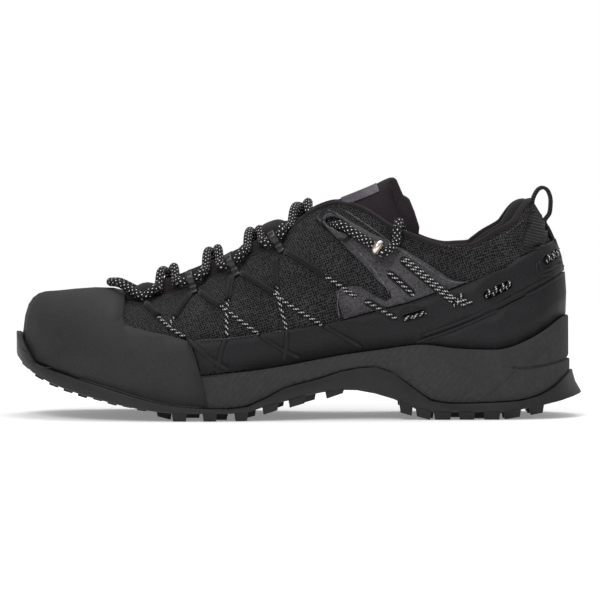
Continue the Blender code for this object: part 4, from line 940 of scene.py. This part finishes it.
def foam_lines():
    """The edges between the midsole's facets."""
    ground = Skin(sole_pieces[1])
    pixels = [[(511, 371), (497, 384), (483, 396)], [(512, 370), (526, 361), (536, 354), (547, 346)]]
    routes = [ground.route(row, side, -0.0003, 4.0) for row in pixels for side in SIDES.values()]
    settled(tubes(routes, 0.0014, 8), "foam_lines", "foam")


def tongue_pad():
    """The padded back of the tongue, which stands behind its face in two steps."""
    width, shoulder, top = 0.0340, 0.104, 0.128
    pixels = [(388, 178), (395.5, 177.5), (403, 195.5), (408.5, 197.5), (414, 211), (418.7, 226), (418, 234),
              (409, 248), (401, 243), (402, 222), (394, 196)]
    work = bmesh.new()
    work.faces.new([work.verts.new(on_centre(pixel, -width / 2)) for pixel in pixels])
    piece = made_of(work, "tongue_pad")
    alone(piece)
    bpy.ops.object.mode_set(mode="EDIT")
    bpy.ops.mesh.select_all(action="SELECT")
    bpy.ops.mesh.extrude_region_move(TRANSFORM_OT_translate={"value": (0.0, width, 0.0)})
    bpy.ops.mesh.select_all(action="SELECT")
    bpy.ops.mesh.normals_make_consistent(inside=False)
    bpy.ops.object.mode_set(mode="OBJECT")
    soft = piece.modifiers.new("soft", "BEVEL")
    soft.width, soft.segments, soft.limit_method = 0.0022, 4, "ANGLE"
    applied(piece)
    for vertex in piece.data.vertices:
        vertex.co.y *= 1.0 - 0.28 * max(0.0, (vertex.co.z - shoulder) / (top - shoulder))
    smooth_edges(piece, 50.0)
    settled(piece, "tongue_pad", "fabric")


def slot_eyelets():
    """A pressed oval round the slot that the lace comes out of."""
    for label, side in SIDES.items():
        outlines = [stadium((329.0, 221.5), (341.5, 234.0), width) for width in (15.5, 20.0)]
        ovals = [[skin.spot(point, side, 0.0001)[0] for point in outline] for outline in outlines]
        settled(tubes(ovals, 0.0010, 8), f"slot_eyelet_{label}", "film")


def flat_label():
    """The label lies close on the tongue."""
    ground = Skin(tongue).tree
    for vertex in label_patch.data.vertices:
        place, out, _, _ = ground.find_nearest(vertex.co)
        gap = vertex.co - place
        height = gap.dot(out)
        if height > 0.0002:
            vertex.co -= out * (height - 0.0002) * 0.68


def glue_and_highlight_line():
    """The thin line of glue where the rand meets the outsole, coloured paler than both as a painted highlight
    along the joint.
    """
    ground = Skin(sole_pieces[0], rand)
    pixels = [(25, 352), (40, 365.5), (55, 369.5), (78, 376.5), (108, 385), (134, 393), (159, 399.5),
              (181, 403.5), (204, 405)]
    routes = [ground.route(pixels, side, 0.0, 5.0) for side in SIDES.values()]
    settled(tubes(routes, 0.0009, 8), "glue_and_highlight_line", "glue_and_highlight")


collar()
bulge("tongue_fold", (-0.1085, 0.0, 0.0975), (0.92, 1.25, 0.66), 0.0012)
bulge("tongue_toe", (-0.1805, 0.0039, 0.0635), (1.25, 1.45, 0.56), 0.0024)
toe_nubs()
glue_and_highlight_line()
rings()
pull_loop()
heel_bands()
foam_lines()
flat_label()
tongue_pad()
slot_eyelets()
